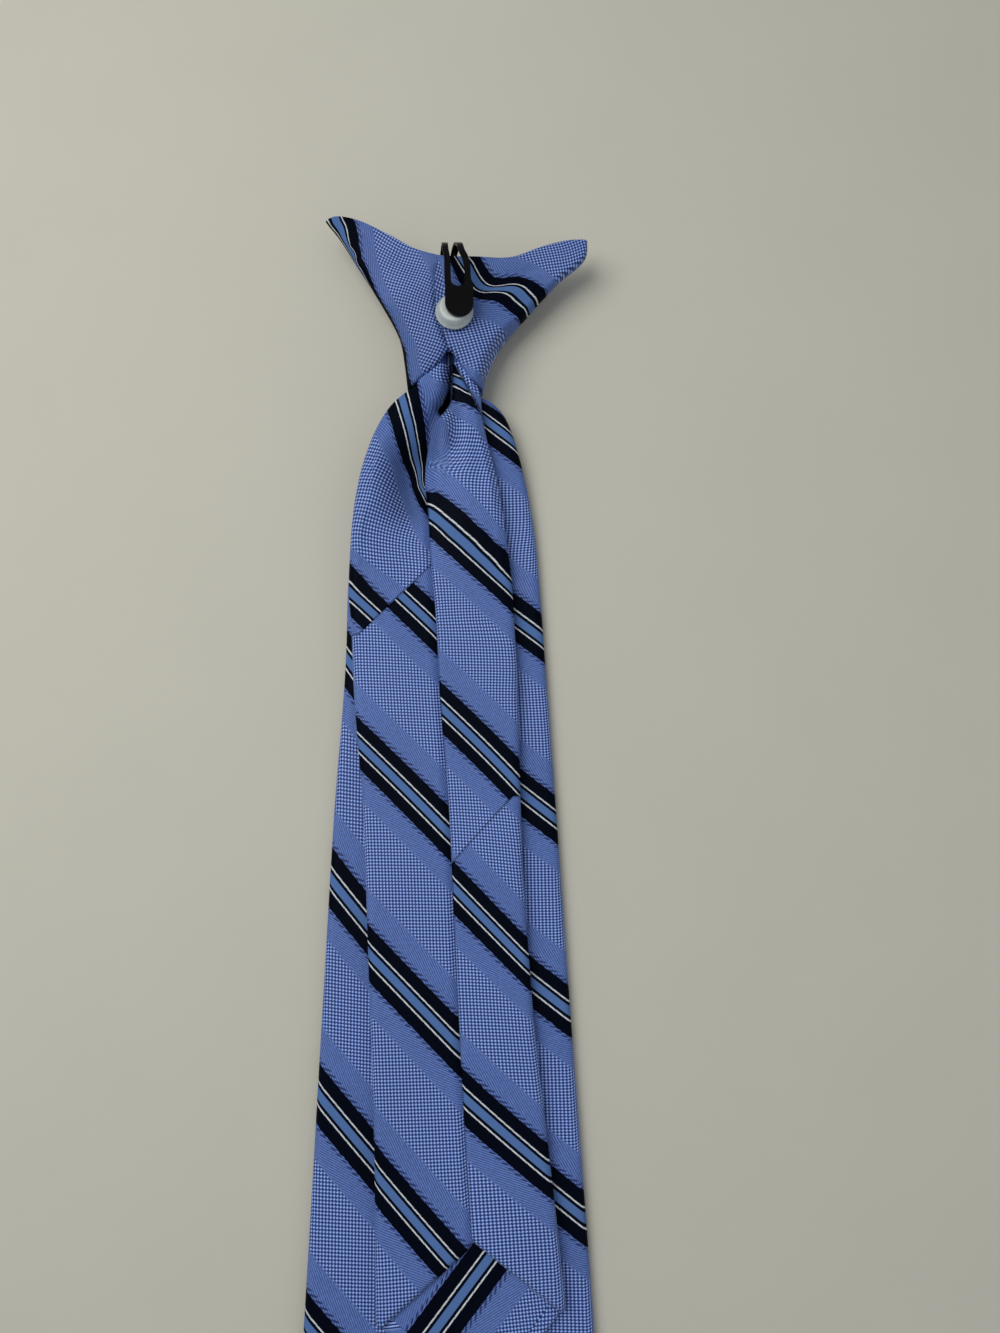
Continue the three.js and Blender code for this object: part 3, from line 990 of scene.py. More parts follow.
@dataclass(frozen=True)
class Crossings:
    """Heights at which the middles of successive stripes cross the four edges of a blade.

    first is the number of the stripe that each list starts with. The right flap's
    stripes have numbers of their own, behind those of the left flap by turns stripes.
    Beyond the lists the stripes go on at the usual spacing.
    """

    first: int
    left_seam: tuple[float, ...]
    left_fold: tuple[float, ...]
    right_first: int
    right_fold: tuple[float, ...]
    right_seam: tuple[float, ...]
    turns: int
    spacing: float = 52.0

    def number(self, first: int, heights: Array, y: Array) -> Array:
        """Numbers the stripes, with fractions, on one line up the blade.

        Args:
            first: The number at the first crossing.
            heights: The crossings, from the top down.
            y: Where to read the number.

        Returns:
            The numbers, in the shape of y.
        """
        ends = [heights[0] + self.spacing], [heights[-1] - self.spacing]
        keys = np.concatenate([ends[0], heights, ends[1]])[::-1]
        numbers = (first - 1 + np.arange(len(keys), dtype=float))[::-1]
        return reach_beyond(keys, numbers, y)

    def on_left(self, share: float, y: Array) -> Array:
        """The number on the left flap, a share of the way from its fold to its seam."""
        heights = mix(np.array(self.left_fold), np.array(self.left_seam), share)
        return self.number(self.first, heights, y)

    def on_right(self, share: float, y: Array) -> Array:
        """The number on the right flap, counted on round the face."""
        heights = mix(np.array(self.right_fold), np.array(self.right_seam), share)
        return self.number(self.right_first, heights, y) + self.turns


@dataclass(frozen=True)
class Piecing:
    """The slanting seam that joins a blade's two lengths of cloth, by its heights."""

    left_seam: float
    left_fold: float
    right_fold: float
    right_seam: float


class Part(Enum):
    """The parts of a blade's section, from the left seam round to the right one."""

    LEFT_FLAP = "left flap"
    LEFT_FOLD = "left fold"
    FACE = "face"
    RIGHT_FOLD = "right fold"
    RIGHT_FLAP = "right flap"


Column = tuple[Part, float]


@dataclass
class Grid:
    """A blade's cloth, in columns that each keep one place of the section.

    y is the points' heights along the blade, run their distances round the section from
    the left flap's seam edge, and cuts the columns at which the flaps end.
    """

    columns: list[Column]
    points: Array
    y: Array
    run: Array
    cuts: list[int]


@dataclass
class FoldedBlade:
    """A blade folded out of one cloth: a face below and two flaps that meet behind.

    upper and lower say where the stripes run above and below the piecing seam.
    The stripes of a puckered flap follow its field above the heights settled.
    """

    name: str
    node: str
    stations: Stations
    ends: Ends
    upper: Crossings
    lower: Crossings
    piecing: Piecing | None = None
    puckered: dict[Part, StripeField] = field(default_factory=dict)
    settled: Pair = (76.0, 92.0)
    creases: tuple[Crease, ...] = ()
    left_creases: tuple[Crease, ...] = ()
    # painted shade along deep folds, laid into each flap's colour
    left_shades: tuple[Crease, ...] = ()
    right_shades: tuple[Crease, ...] = ()
    rows: int = 250
    top: float = 149.0
    rests_on: tuple[str, ...] = ()
    flap_steps: int = 36
    fold_steps: int = 9
    face_steps: int = 26
    levels: int = 200
    crowding: float = 0.55
    groove_width: float = 4.0
    soft_floor: float = 0.2
    hem_turns: int = 7
    hem_steps: int = 5
    flat: Pair = field(default=(0.0, 0.0), init=False)
    area: float = field(default=0.0, init=False)

    def build(self, silk: Material) -> Object:
        """Makes the blade's cloth.

        Args:
            silk: The cloth's material.

        Returns:
            The finished sheet.
        """
        grid = self._grid()
        piece = SheetMesh(self.name, self._patches(grid)).weld(0.02).thicken(CLOTH).finish(silk)
        self._declare(piece, grid)
        log.info("%s: cloth of %.0f by %.0f mm", self.name, self.flat[0] / MM, self.flat[1] / MM)
        return piece

    def _grid(self) -> Grid:
        """Lays out the cloth's points and measures their distances round the section.

        Returns:
            The grid.
        """
        columns = self._columns()
        y = np.stack([self._heights(column) for column in columns], axis=1)
        points = [self._place(column, y[:, n]) for n, column in enumerate(columns)]
        levels = np.linspace(self.top, self._lowest(), self.levels)
        section = np.stack([self._place(column, levels) for column in columns], axis=1)
        steps = np.linalg.norm(np.diff(section[:, :, [0, 2]], axis=1), axis=2)
        length = np.concatenate([np.zeros((len(levels), 1)), np.cumsum(steps, axis=1)], axis=1)
        run = [np.interp(y[:, n], levels[::-1], length[::-1, n]) for n in range(len(columns))]
        kinds = [part for part, _ in columns]
        folds = (Part.LEFT_FOLD, Part.RIGHT_FOLD)
        cuts = [kinds.index(fold) + self.fold_steps // 2 for fold in folds]
        return Grid(columns, np.stack(points, axis=1), y, np.stack(run, axis=1), cuts)

    def _columns(self) -> list[Column]:
        """Lists the columns of the cloth's grid.

        Returns:
            Each one's part of the section and place on it, from the left seam round.
        """
        flap, fold, face = (
            np.linspace(0, 1, n + 1) for n in (self.flap_steps, self.fold_steps, self.face_steps)
        )
        return (
            [(Part.LEFT_FLAP, u) for u in flap[:-1]]
            + [(Part.LEFT_FOLD, u) for u in fold[:-1]]
            + [(Part.FACE, u) for u in face[:-1]]
            + [(Part.RIGHT_FOLD, u) for u in fold[:-1]]
            + [(Part.RIGHT_FLAP, u) for u in flap]
        )

    def _heights(self, column: Column) -> Array:
        """Spreads one column's points along the blade, close together under the knot.

        Args:
            column: The column.

        Returns:
            The points' heights, from the top down.
        """
        part, u = column
        tip, left, right = self.ends.tip, self.ends.left, self.ends.right
        middle = (tip[0] - left[0]) / (right[0] - left[0])
        point = tip[1] + HEM_RADIUS * math.sqrt(2)
        low = {
            Part.LEFT_FLAP: mix(self.ends.apex[1], left[1], u),
            Part.LEFT_FOLD: left[1],
            Part.FACE: float(np.interp(u, [0, middle, 1], [left[1], point, right[1]])),
            Part.RIGHT_FOLD: right[1],
            Part.RIGHT_FLAP: mix(right[1], self.ends.apex[1], u),
        }[part]
        share = np.linspace(0, 1, self.rows)
        return mix(self.top, low, (1 - self.crowding) * share + self.crowding * share**1.9)

    def _lowest(self) -> float:
        """The height of the lower one of the two corners."""
        return min(self.ends.left[1], self.ends.right[1])

    def _row(self, y: Array) -> Row:
        """Reads the section's sizes, which stay the same below the corners.

        Args:
            y: Heights along the blade.

        Returns:
            The sizes, with those of an even and flat blade where the stations have none.
        """
        row = self.stations.at(np.maximum(y, self._lowest()))
        roll, none = row["rollLeft"], np.zeros_like(row["left"])
        even = {"rollRight": roll, "mid": roll, "crownLeft": none, "crownRight": none}
        return {"seam": none, "dimple": none, **even, **row}

    def _place(self, column: Column, y: Array) -> Array:
        """Places the points of one column on the cloth's outside.

        Args:
            column: The column.
            y: The points' heights along the blade, from the top down.

        Returns:
            The points.
        """
        part, u = column
        row = self._row(y)
        if part is Part.FACE:
            x = mix(row["left"] + row["rollLeft"] / 2, row["right"] - row["rollRight"] / 2, u)
            z = row["dimple"] * np.exp(-((x / self.groove_width) ** 2))
        elif part in (Part.LEFT_FOLD, Part.RIGHT_FOLD):
            x, z = self._fold(row, part, u)
        else:
            x, z = self._flap(row, part, u, y)
        return np.stack([x, y, row["base"] + z], axis=1)

    def _fold(self, row: Row, part: Part, u: float) -> tuple[Array, Array]:
        """Rolls a side fold half round.

        Args:
            row: The section's sizes.
            part: Which fold.
            u: How far round, from 0 to 1.

        Returns:
            The places across, and the heights over the blade's face.
        """
        if part is Part.LEFT_FOLD:
            radius, turn = row["rollLeft"] / 2, math.pi * (0.5 + u)
            middle = row["left"] + radius
        else:
            radius, turn = row["rollRight"] / 2, math.pi * (u - 0.5)
            middle = row["right"] - radius
        return middle + radius * math.cos(turn), radius * (1 + math.sin(turn))

    def _flap(self, row: Row, part: Part, u: float, y: Array) -> tuple[Array, Array]:
        """Lays a flap over the face, with its creases and the roll of its free edges.

        Args:
            row: The section's sizes.
            part: Which flap.
            u: How far across it, from 0 to 1.
            y: The points' heights along the blade.

        Returns:
            The places across, and the heights over the blade's face.
        """
        if part is Part.LEFT_FLAP:
            x = mix(row["seam"] + TUCK, row["left"] + row["rollLeft"] / 2, u)
            z = self._crown(row, x, "left", "rollLeft", "crownLeft")
            z = z - TUCK_DROP * smooth((x - row["seam"] + TUCK_START) / TUCK_RUN)
            z = z + lifted(self.left_creases, x, y)
        else:
            x = mix(row["right"] - row["rollRight"] / 2, row["seam"], u)
            z = self._crown(row, x, "right", "rollRight", "crownRight")
            z = z - EDGE_ROUND * 0.7 * (1 - rounded(x - row["seam"], EDGE_ROUND))
        z = z + lifted(self.creases, x, y)
        z = FLAP_LOW + self.soft_floor * np.logaddexp(0, (z - FLAP_LOW) / self.soft_floor)
        z = z - EDGE_ROUND * 0.6 * (1 - rounded((y - y[-1]) * DIAGONAL, EDGE_ROUND))
        return x, z

    def _crown(self, row: Row, x: Array, edge: str, roll: str, crown: str) -> Array:
        """The height of a flap without its creases, out of three columns of the stations."""
        u = np.clip((x - row[edge]) / (row["seam"] - row[edge]), 0, 1)
        return mix(row[roll], row["mid"], smooth(u)) + row[crown] * np.sin(math.pi * u)

    def _patches(self, grid: Grid) -> list[Patch]:
        """Parts the cloth into patches, each with its maps.

        Args:
            grid: The cloth's points.

        Returns:
            The left flap, the face, the right flap and the hem.
        """
        y, run, cuts = grid.y, grid.run, grid.cuts
        upper, lower = self._across(self.upper, grid), self._across(self.lower, grid)
        past = np.full(y.shape, FAR_ABOVE_SEAM)
        if self.piecing:
            past = (np.array([self._seam_height(column) for column in grid.columns]) - y) * DIAGONAL
        middle = run[:, cuts].mean(axis=1, keepdims=True)
        parts = {
            Part.LEFT_FLAP: (slice(0, cuts[0] + 1), 0.0, self.left_shades),
            Part.FACE: (slice(cuts[0], cuts[1] + 1), middle, ()),
            Part.RIGHT_FLAP: (slice(cuts[1], None), run[:, -1:], self.right_shades),
        }
        patches = []
        for part, (span, start, shades) in parts.items():
            points = grid.points[:, span]
            across, along = upper[:, span], (upper + math.sqrt(2) * (run - start))[:, span]
            even = across
            if part in self.puckered:
                across, along, even = self._pucker(self.puckered[part], points, across, along)
            shift = lower[:, span] - across if self.piecing else np.zeros_like(across)
            piecing = np.stack([past[:, span], shift], axis=-1)
            # painted shade of the flap's deep folds
            shade = lifted(shades, points[..., 0], points[..., 1])
            patches.append(woven(points, across, along, even, piecing, shade=shade))
        along = upper + math.sqrt(2) * (run - middle)
        hem = self._hem(grid, upper, along, np.stack([past, lower - upper], axis=-1))
        return patches + [hem]

    def _across(self, crossings: Crossings, grid: Grid) -> Array:
        """Spreads the distances across the stripes over the whole grid.

        Args:
            crossings: Where the stripes cross the blade's edges.
            grid: The cloth's points.

        Returns:
            The distances.
        """
        row, first, last = self._row(grid.y), *grid.cuts
        numbers = np.zeros(grid.y.shape)
        for n in range(len(grid.columns)):
            y, x, run = grid.y[:, n], grid.points[:, n, 0], grid.run[:, n]
            if first < n < last:
                way = (run - grid.run[:, first]) / (grid.run[:, last] - grid.run[:, first])
                numbers[:, n] = mix(crossings.on_left(0, y), crossings.on_right(0, y), way)
                continue
            side, read = ("left", crossings.on_left) if n <= first else ("right", crossings.on_right)
            edge, seam = row[side][:, n], row["seam"][:, n]
            numbers[:, n] = self._by_share(read, (x - edge) / (seam - edge), y)
        return -REPEAT * numbers

    def _pucker(self, puckers: StripeField, points: Array, across: Array,
                along: Array) -> tuple[Array, Array, Array]:
        """Turns the stripes of one flap to where the puckered cloth under the knot takes them.

        Args:
            puckers: Where the stripes run.
            points: The flap's points.
            across: Distances across the stripes further down.
            along: Distances along them.

        Returns:
            The distances across and along, and those across for the weave.
        """
        x, y = points[..., 0], points[..., 1]
        low, high = self.settled
        share = smooth((y - low) / (high - low))
        near = y[:, 0] > puckers.low[1] - 4
        below = [np.stack([x[near], y[near], d[near]], -1).reshape(-1, 3) for d in (across, along)]
        return (
            mix(across, puckers.across(x, y) + puckers.past_fold(x, y), share),
            mix(along, puckers.even(x, y, True, below[1], low), share),
            mix(across, puckers.even(x, y, False, below[0], low), share),
        )

    def _by_share(self, read: Callable[[float, Array], Array], share: Array,
                  y: Array) -> Array:
        """Reads a stripe's number where the share changes slowly along a column.

        Args:
            read: Gives the numbers at one share.
            share: How far each point is from the fold to the seam.
            y: The points' heights along the blade.

        Returns:
            The numbers.
        """
        middle = float(np.median(share))
        return read(middle, y) + (share - middle) * (read(1, y) - read(0, y))

    def _seam_height(self, column: Column) -> float:
        """Where the piecing seam crosses a column.

        Args:
            column: The column.

        Returns:
            The height along the blade.
        """
        part, u = column
        seam = self.piecing
        return {
            Part.LEFT_FLAP: mix(seam.left_seam, seam.left_fold, u),
            Part.LEFT_FOLD: seam.left_fold,
            Part.FACE: mix(seam.left_fold, seam.right_fold, u),
            Part.RIGHT_FOLD: seam.right_fold,
            Part.RIGHT_FLAP: mix(seam.right_fold, seam.right_seam, u),
        }[part]

    def _hem(self, grid: Grid, across: Array, along: Array, piecing: Array) -> Patch:
        """Turns the face's lower edges up and back over the tipping.

        Args:
            grid: The cloth's points.
            across: Their distances across the stripes.
            along: Their distances along them.
            piecing: Their piecing maps.

        Returns:
            The hem.
        """
        face = np.flatnonzero([part is Part.FACE for part, _ in grid.columns])
        face = np.append(face, face[-1] + 1)
        edge = grid.points[-1, face]
        beside = edge[:, 0] - self.ends.tip[0]
        out = np.where(beside < 0, -1.0, 1.0)
        blunt = np.clip(np.abs(beside) / (HEM_RADIUS * 1.5), 0, 1)
        direction = np.stack([out * blunt, -np.ones(len(face)), np.zeros(len(face))], axis=1)
        direction /= np.linalg.norm(direction, axis=1)[:, None]
        room = np.minimum(HEM_WIDTH, np.abs(beside) * math.sqrt(2) + 0.4)
        rows, spread = [edge], [np.zeros(len(face))]
        for turn in np.linspace(0, math.pi, self.hem_turns + 1)[1:]:
            rise = np.array([0, 0, HEM_RADIUS * (1 - math.cos(turn))])
            rows.append(edge + direction * HEM_RADIUS * math.sin(turn) + rise)
            spread.append(np.full(len(face), HEM_RADIUS * turn))
        turned = rows[-1]
        for share in np.linspace(0, 1, self.hem_steps + 1)[1:]:
            rows.append(turned - direction * (room * share)[:, None])
            spread.append(HEM_RADIUS * math.pi + room * share)
        along, piecing = (np.repeat(d[-1, face][None], len(rows), axis=0) for d in (along, piecing))
        return woven(np.stack(rows), across[-1, face] + np.stack(spread), along, piecing=piecing)

    def _declare(self, piece: Object, grid: Grid) -> None:
        """Hangs the sheet under the root, hides its node in the model and keeps how large its cloth was
        cut.

        Args:
            piece: The sheet.
            grid: Its points.
        """
        length = self.top - self.ends.tip[1] + HEM_WIDTH
        steps, spans = np.abs(np.diff(grid.y, axis=0)), np.diff(grid.run, axis=1)
        quads = 0.5 * (steps[:, 1:] + steps[:, :-1]) * 0.5 * (spans[1:] + spans[:-1])
        self.area = float(quads.sum())
        self.flat = (float(grid.run.max()) * MM, length * MM)
        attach(piece, "root")
        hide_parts(self.node)


FRONT_STATIONS = Stations(
    ("y", "left", "right", "base", "rollLeft", "dimple"),
    (
        (149, -7.2, 7.6, 3.2, 4.6, 0.4),
        (135.4, -7.5, 8, 3.2, 4.6, 0.8),
        (133, -11.6, 12.8, 3, 4.6, 1.1),
        (129, -15.4, 16.3, 2.6, 4.5, 1.2),
        (121, -18.4, 19.2, 1.9, 4.4, 1.1),
        (109, -21.5, 22, 0.9, 4.1, 0.7),
        (95, -24.4, 24, 0.2, 3.9, 0.2),
        (82, -25.9, 24.9, 0, 3.8, 0),
        (68, -26.1, 25.7, 0, 3.8, 0),
        (24, -28.8, 28.1, 0, 3.8, 0),
        (-20, -30.9, 30.4, 0, 3.8, 0),
        (-95, -34.4, 34.6, 0, 3.8, 0),
        (-147.4, -37.1, 37.1, 0, 3.8, 0),
        (-187.5, -39.1, 39.1, 0, 3.8, 0),
    ),
)

TAIL_STATIONS = Stations(
    ("y", "left", "seam", "right", "base", "rollLeft", "rollRight", "mid", "crownLeft", "crownRight"),
    (
        (149, -6.6, 2.4, 7.6, 8.1, 3.6, 3.6, 3.6, 0, 0),
        (138.6, -6.9, 2.4, 8.0, 8.1, 3.6, 3.5, 3.4, 0.1, 0),
        (136.6, -7, 2.4, 8.8, 8.1, 3.6, 3.5, 3.3, 0.2, 0),
        (133.6, -10.6, 2.3, 9.8, 7.9, 4.2, 3.5, 3, 0.6, 0.2),
        (131.6, -12.9, 1.8, 10.0, 7.65, 4.7, 3.55, 2.95, 0.8, 0.45),
        (129, -15, 0, 10.1, 7.4, 5.2, 3.6, 2.9, 1, 0.7),
        (126, -16.8, -2.4, 10.5, 7.1, 5.7, 3.7, 2.85, 1.05, 0.95),
        (121, -19.1, -3.9, 11.5, 6.6, 6.4, 3.8, 2.8, 1.1, 1.3),
        (111, -22.2, -5.1, 13.9, 5.5, 7, 3.9, 2.9, 0.6, 1.5),
        (101.5, -23.8, -4.2, 15.5, 4.8, 6.8, 3.9, 3.1, -0.2, 1.2),
        (92, -24.6, -3.8, 16.6, 4.4, 5.8, 3.8, 3.5, -0.3, 0.7),
        (82, -25, -2.9, 17.6, 4.1, 4.8, 3.8, 3.8, 0, 0.3),
        (72, -24.2, -2.2, 18, 4.1, 4.1, 3.8, 3.8, 0.1, 0.1),
        (58, -23.6, -1.5, 18.7, 4.1, 3.8, 3.8, 3.8, 0, 0),
        (24, -20.8, 0.9, 19, 4.1, 3.8, 3.8, 3.8, 0, 0),
        (-20, -18.9, 2.8, 21, 4.1, 3.8, 3.8, 3.8, 0, 0),
        (-54, -17.5, 4.5, 24.3, 4.1, 3.8, 3.8, 3.8, 0, 0),
        (-92, -16.9, 6.6, 28, 4.1, 3.8, 3.8, 3.8, 0, 0),
        (-118, -16.3, 7, 30, 4.1, 3.8, 3.8, 3.8, 0, 0),
    ),
)


PETAL = StripeField(
    lines=(
        (-31.9, (-6.8, 136.1), (-6.1, 132.1), (-5.2, 127.2), (-4.6, 121.3), (-4.4, 113.9),
         (-4.3, 109.6)),
        (-35.05, (-9.4, 133.7), (-8.5, 130.2), (-7.3, 125.2), (-6.4, 119.8), (-5.7, 114.4),
         (-4.5, 108.6)),
        (-38.75, (-12.4, 131.2), (-11.1, 126.8), (-9.7, 121.8), (-8.5, 115.9), (-7.1, 111.1),
         (-4.5, 104.5)),
        (-41.9, (-14.4, 127.8), (-12.5, 120.9), (-10.6, 115), (-8.5, 109.1), (-6.6, 104.3),
         (-4.7, 101.9)),
        (-68.8, (-24.8, 89.1), (-21, 85.3), (-17.8, 81.5), (-15, 79.1)),
        (-71.95, (-25.1, 84.6), (-21.9, 80.6), (-18.2, 76.8)),
        (-75.65, (-25, 78.7), (-22.8, 76.3), (-20.5, 74.4)),
        (-47.5, (-17.2, 121.4), (-13.6, 114), (-10.8, 105.3), (-8, 97.5)),
        (-62.5, (-23.8, 92.3), (-19.6, 88.5), (-15.9, 85.6), (-10.7, 82.6)),
        (-52.3, (-22.2, 111)),
        (-24.8, (-2.4, 138.6)),
        (-28.2, (-1, 131)),
        (-23.4, (1.8, 142)),
        (-25.4, (2.2, 137)),
        (-27.6, (2.2, 131)),
        (-44.5, (-4.5, 96)),
        (-49.5, (-4, 90)),
    ),
    low=(-27, 66),
    high=(5, 142),
)
LAP = StripeField(
    lines=(
        (-71.95, (2.4, 139.3), (4.4, 138.3)),
        (-75.65, (2.6, 135.7), (5.2, 134.3), (7.3, 132.8)),
        (-78.8, (2.9, 131.6), (5.7, 130.8), (9, 128.8)),
        (-84.4, (0.4, 130), (3.4, 127.2)),
        (-99.4, (0.2, 126.8), (1.4, 123.5), (1.6, 119), (1.4, 114.5)),
        (-101.8, (-1.2, 121), (-3, 118.5)),
        (-84.4, (6.6, 124.9), (11.7, 119.4)),
        (-99.4, (-3.8, 115.1), (0.8, 112.1), (5.5, 108.2), (10.1, 103.3), (14.7, 97.9)),
        (-105.7, (-4.1, 107.7), (-1.5, 107), (5.4, 101.6), (11, 96.2), (16.5, 91.4)),
        (-108.85, (-4.8, 104.8), (0.8, 100.7), (5.4, 96.5), (10, 91.9), (14.6, 87.1),
         (17.5, 83.8)),
        (-112.55, (-4.1, 99.6), (0.7, 95), (5.4, 90.6), (10, 86.3), (14.5, 82), (17.7, 78.9)),
        (-115.7, (-3.7, 95.5), (0.7, 91.2), (5.3, 86.8), (9.9, 82.5), (14.5, 78.2), (17.9, 75.4)),
    ),
    low=(-7, 66),
    high=(20, 142),
    fold=((4.4, 139.0), (9.7, 128.9)),
)


def front_blade() -> FoldedBlade:
    """The wide blade, whose flaps are mostly under the tail."""
    stripes = Crossings(
        first=1,
        left_seam=(86, 30, -26, -78, -130, -182),
        left_fold=(120.6, 65.0, 8.7, -42.9, -94.5, -146.3),
        right_first=1,
        right_fold=(121.6, 68.6, 22.2, -24.8, -72.9, -121.3),
        right_seam=(139, 89, 45, -0.5, -46, -92),
        turns=1,
    )
    return FoldedBlade(
        name="front_blade_cloth",
        node="front_blade",
        stations=FRONT_STATIONS,
        ends=Ends((0, -184.5), (-37.1, -147.4), (37.1, -147.4), (0, -117)),
        upper=stripes,
        lower=stripes,
    )


def tail_blade() -> FoldedBlade:
    """The narrow blade on the front one's back, with its puffed top and its piecing seam."""
    upper = Crossings(
        first=1,
        left_seam=(107.9, 58.7, 8.0, -43.0, -95.0, -147.0),
        left_fold=(131.9, 81.7, 30.0, -21.7, -73.5, -125.3),
        right_first=0,
        right_fold=(135.0, 81.7, 30.6, -18.2, -67.0, -116.0),
        right_seam=(138.2, 102.4, 50.9, 0.2, -50.5, -101.0),
        turns=2,
    )
    lower = Crossings(
        first=1,
        left_seam=(123.4, 71.2, 19.0, -32.0, -86.0, -138.0),
        left_fold=(145.7, 94.1, 42.5, -9.2, -60.0, -111.5),
        right_first=1,
        right_fold=(83.9, 35.5, -12.9, -60.8, -109.2, -157.6),
        right_seam=(106.3, 56.3, 6.3, -43.1, -93.1, -143.1),
        turns=2,
    )
    return FoldedBlade(
        name="tail_blade_cloth",
        node="tail_blade",
        stations=TAIL_STATIONS,
        ends=Ends((6.9, -115.3), (-16.8, -94.2), (28, -91.2), (6.4, -75.7)),
        upper=upper,
        lower=lower,
        piecing=Piecing(89.7, 69.9, 28.3, 11.8),
        puckered={Part.LEFT_FLAP: PETAL, Part.RIGHT_FLAP: LAP},
        rests_on=("front_blade_cloth",),
        left_creases=(
            Crease(((1.8, 152), (1.7, 140), (1.2, 134), (-1.4, 129), (-4.4, 122)), 1.4, -1.4, 0.12),
            Crease(((-17.0, 120), (-17.5, 109), (-16.5, 98)), 4.2, 1.0, 0.35),
            Crease(((-8.5, 121), (-9.6, 111), (-8.8, 103)), 3.6, -1.7, 0.35),
        ),
        creases=(
            Crease(
                ((1.6, 149), (1.5, 138), (0.6, 132), (-3.0, 126), (-5.0, 116), (-5.0, 105)),
                1.9, -0.8, 0.12,
            ),
            Crease(((3.8, 143.5), (6.3, 138.5), (9.2, 133.0)), 1.3, 0.8, 0.15),
            Crease(((2.6, 141.8), (4.0, 138.2), (6.7, 132.8)), 1.0, -0.7, 0.2),
            Crease(((-5.5, 139), (-8.0, 128), (-10.5, 116)), 3.4, 0.6, 0.3),
            Crease(((0.8, 132), (-0.8, 122), (-1.4, 114), (-1.0, 102)), 2.0, 0.6, 0.3),
            Crease(((3.2, 132), (2.8, 124), (2.2, 116)), 1.6, -0.9, 0.3),
            Crease(((6.0, 130), (6.4, 120), (6.6, 108)), 2.4, 0.5, 0.3),
            Crease(((8.5, 130), (10.9, 121), (12.7, 110.8), (13.5, 98)), 2.4, 0.6, 0.3),
        ),
        # painted shade: the dark slit under the knot, the valleys beside the seam and the petal's dish
        left_shades=(
            Crease(((2.0, 152), (2.0, 142), (1.5, 134), (0.8, 130.5), (-1.6, 128)), 1.5, 0.98, 0.06),
            Crease(((1.0, 136), (-0.4, 130), (-2.2, 126), (-4.4, 119), (-4.8, 112)), 1.9, 0.45, 0.25),
            Crease(((-8.0, 124), (-10.4, 113), (-11.0, 103), (-10.0, 95)), 5.6, 0.4, 0.3),
        ),
        # painted shade on the right flap: its edge at the slit and the valleys near the seam
        right_shades=(
            Crease(((2.2, 152), (2.2, 140), (1.9, 133), (-1.0, 127.5)), 1.0, 0.95, 0.08),
            Crease(((3.0, 133), (2.6, 124), (2.0, 116)), 1.5, 0.34, 0.3),
            Crease(((2.8, 142.0), (4.3, 139.0), (7.0, 133.9), (9.6, 129.0)), 0.5, 0.6, 0.1),
            Crease(((0.5, 130), (-2.2, 121), (-2.8, 112)), 2.6, 0.26, 0.3),
        ),
    )


# Tippings


@dataclass
class Tipping:
    """The cloth that backs a blade's point, sewn in under the flaps and hems.

    It stays side inside the blade's edges and runs on by reach under the flaps. Its
    stripes count from the anchor and lean by slant.
    """

    name: str
    node: str
    ends: Ends
    base: float
    side: float
    reach: float
    anchor: Pair
    rests_on: str
    steps: int = 60
    slant: float = 0.816
    thickness: float = 0.9
    edge_width: float = 2.5
    edge_drop: float = 0.25

    def build(self, silk: Material) -> Object:
        """Makes the tipping.

        Args:
            silk: The cloth's material.

        Returns:
            The finished sheet.
        """
        ends = self.ends
        left, right = ends.left[0] + self.side, ends.right[0] - self.side
        top, bottom = ends.apex[1] + self.reach, ends.tip[1] + self.side * math.sqrt(2)
        wide, long = right - left, top - bottom
        share = np.linspace(0, 1, self.steps + 1)
        low = np.interp(
            mix(left, right, share),
            [left, ends.tip[0], right],
            [ends.left[1] + self.side / 2, bottom, ends.right[1] + self.side / 2],
        )
        x = np.repeat(mix(left, right, share)[None], len(share), axis=0)
        y = mix(top, low, share[:, None])
        near_edge = np.clip(1 - np.minimum(share, 1 - share) * wide / self.edge_width, 0, 1)
        z = self.base + TIPPING_TOP - self.edge_drop * near_edge**2
        points = np.stack([x, y, np.repeat(z[None], len(share), axis=0)], axis=-1)
        right_of, above = x - self.anchor[0], y - self.anchor[1]
        across = (right_of - above * self.slant) / math.hypot(1, self.slant)
        along = (right_of * self.slant + above) / math.hypot(1, self.slant)
        patch = woven(points[:, ::-1], across[:, ::-1], along[:, ::-1])
        piece = SheetMesh(self.name, [patch]).thicken(self.thickness).finish(silk)
        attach(piece, "root")
        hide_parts(self.node)
        log.info("%s: cloth of %.0f by %.0f mm", self.name, wide, long)
        return piece


# Stitches


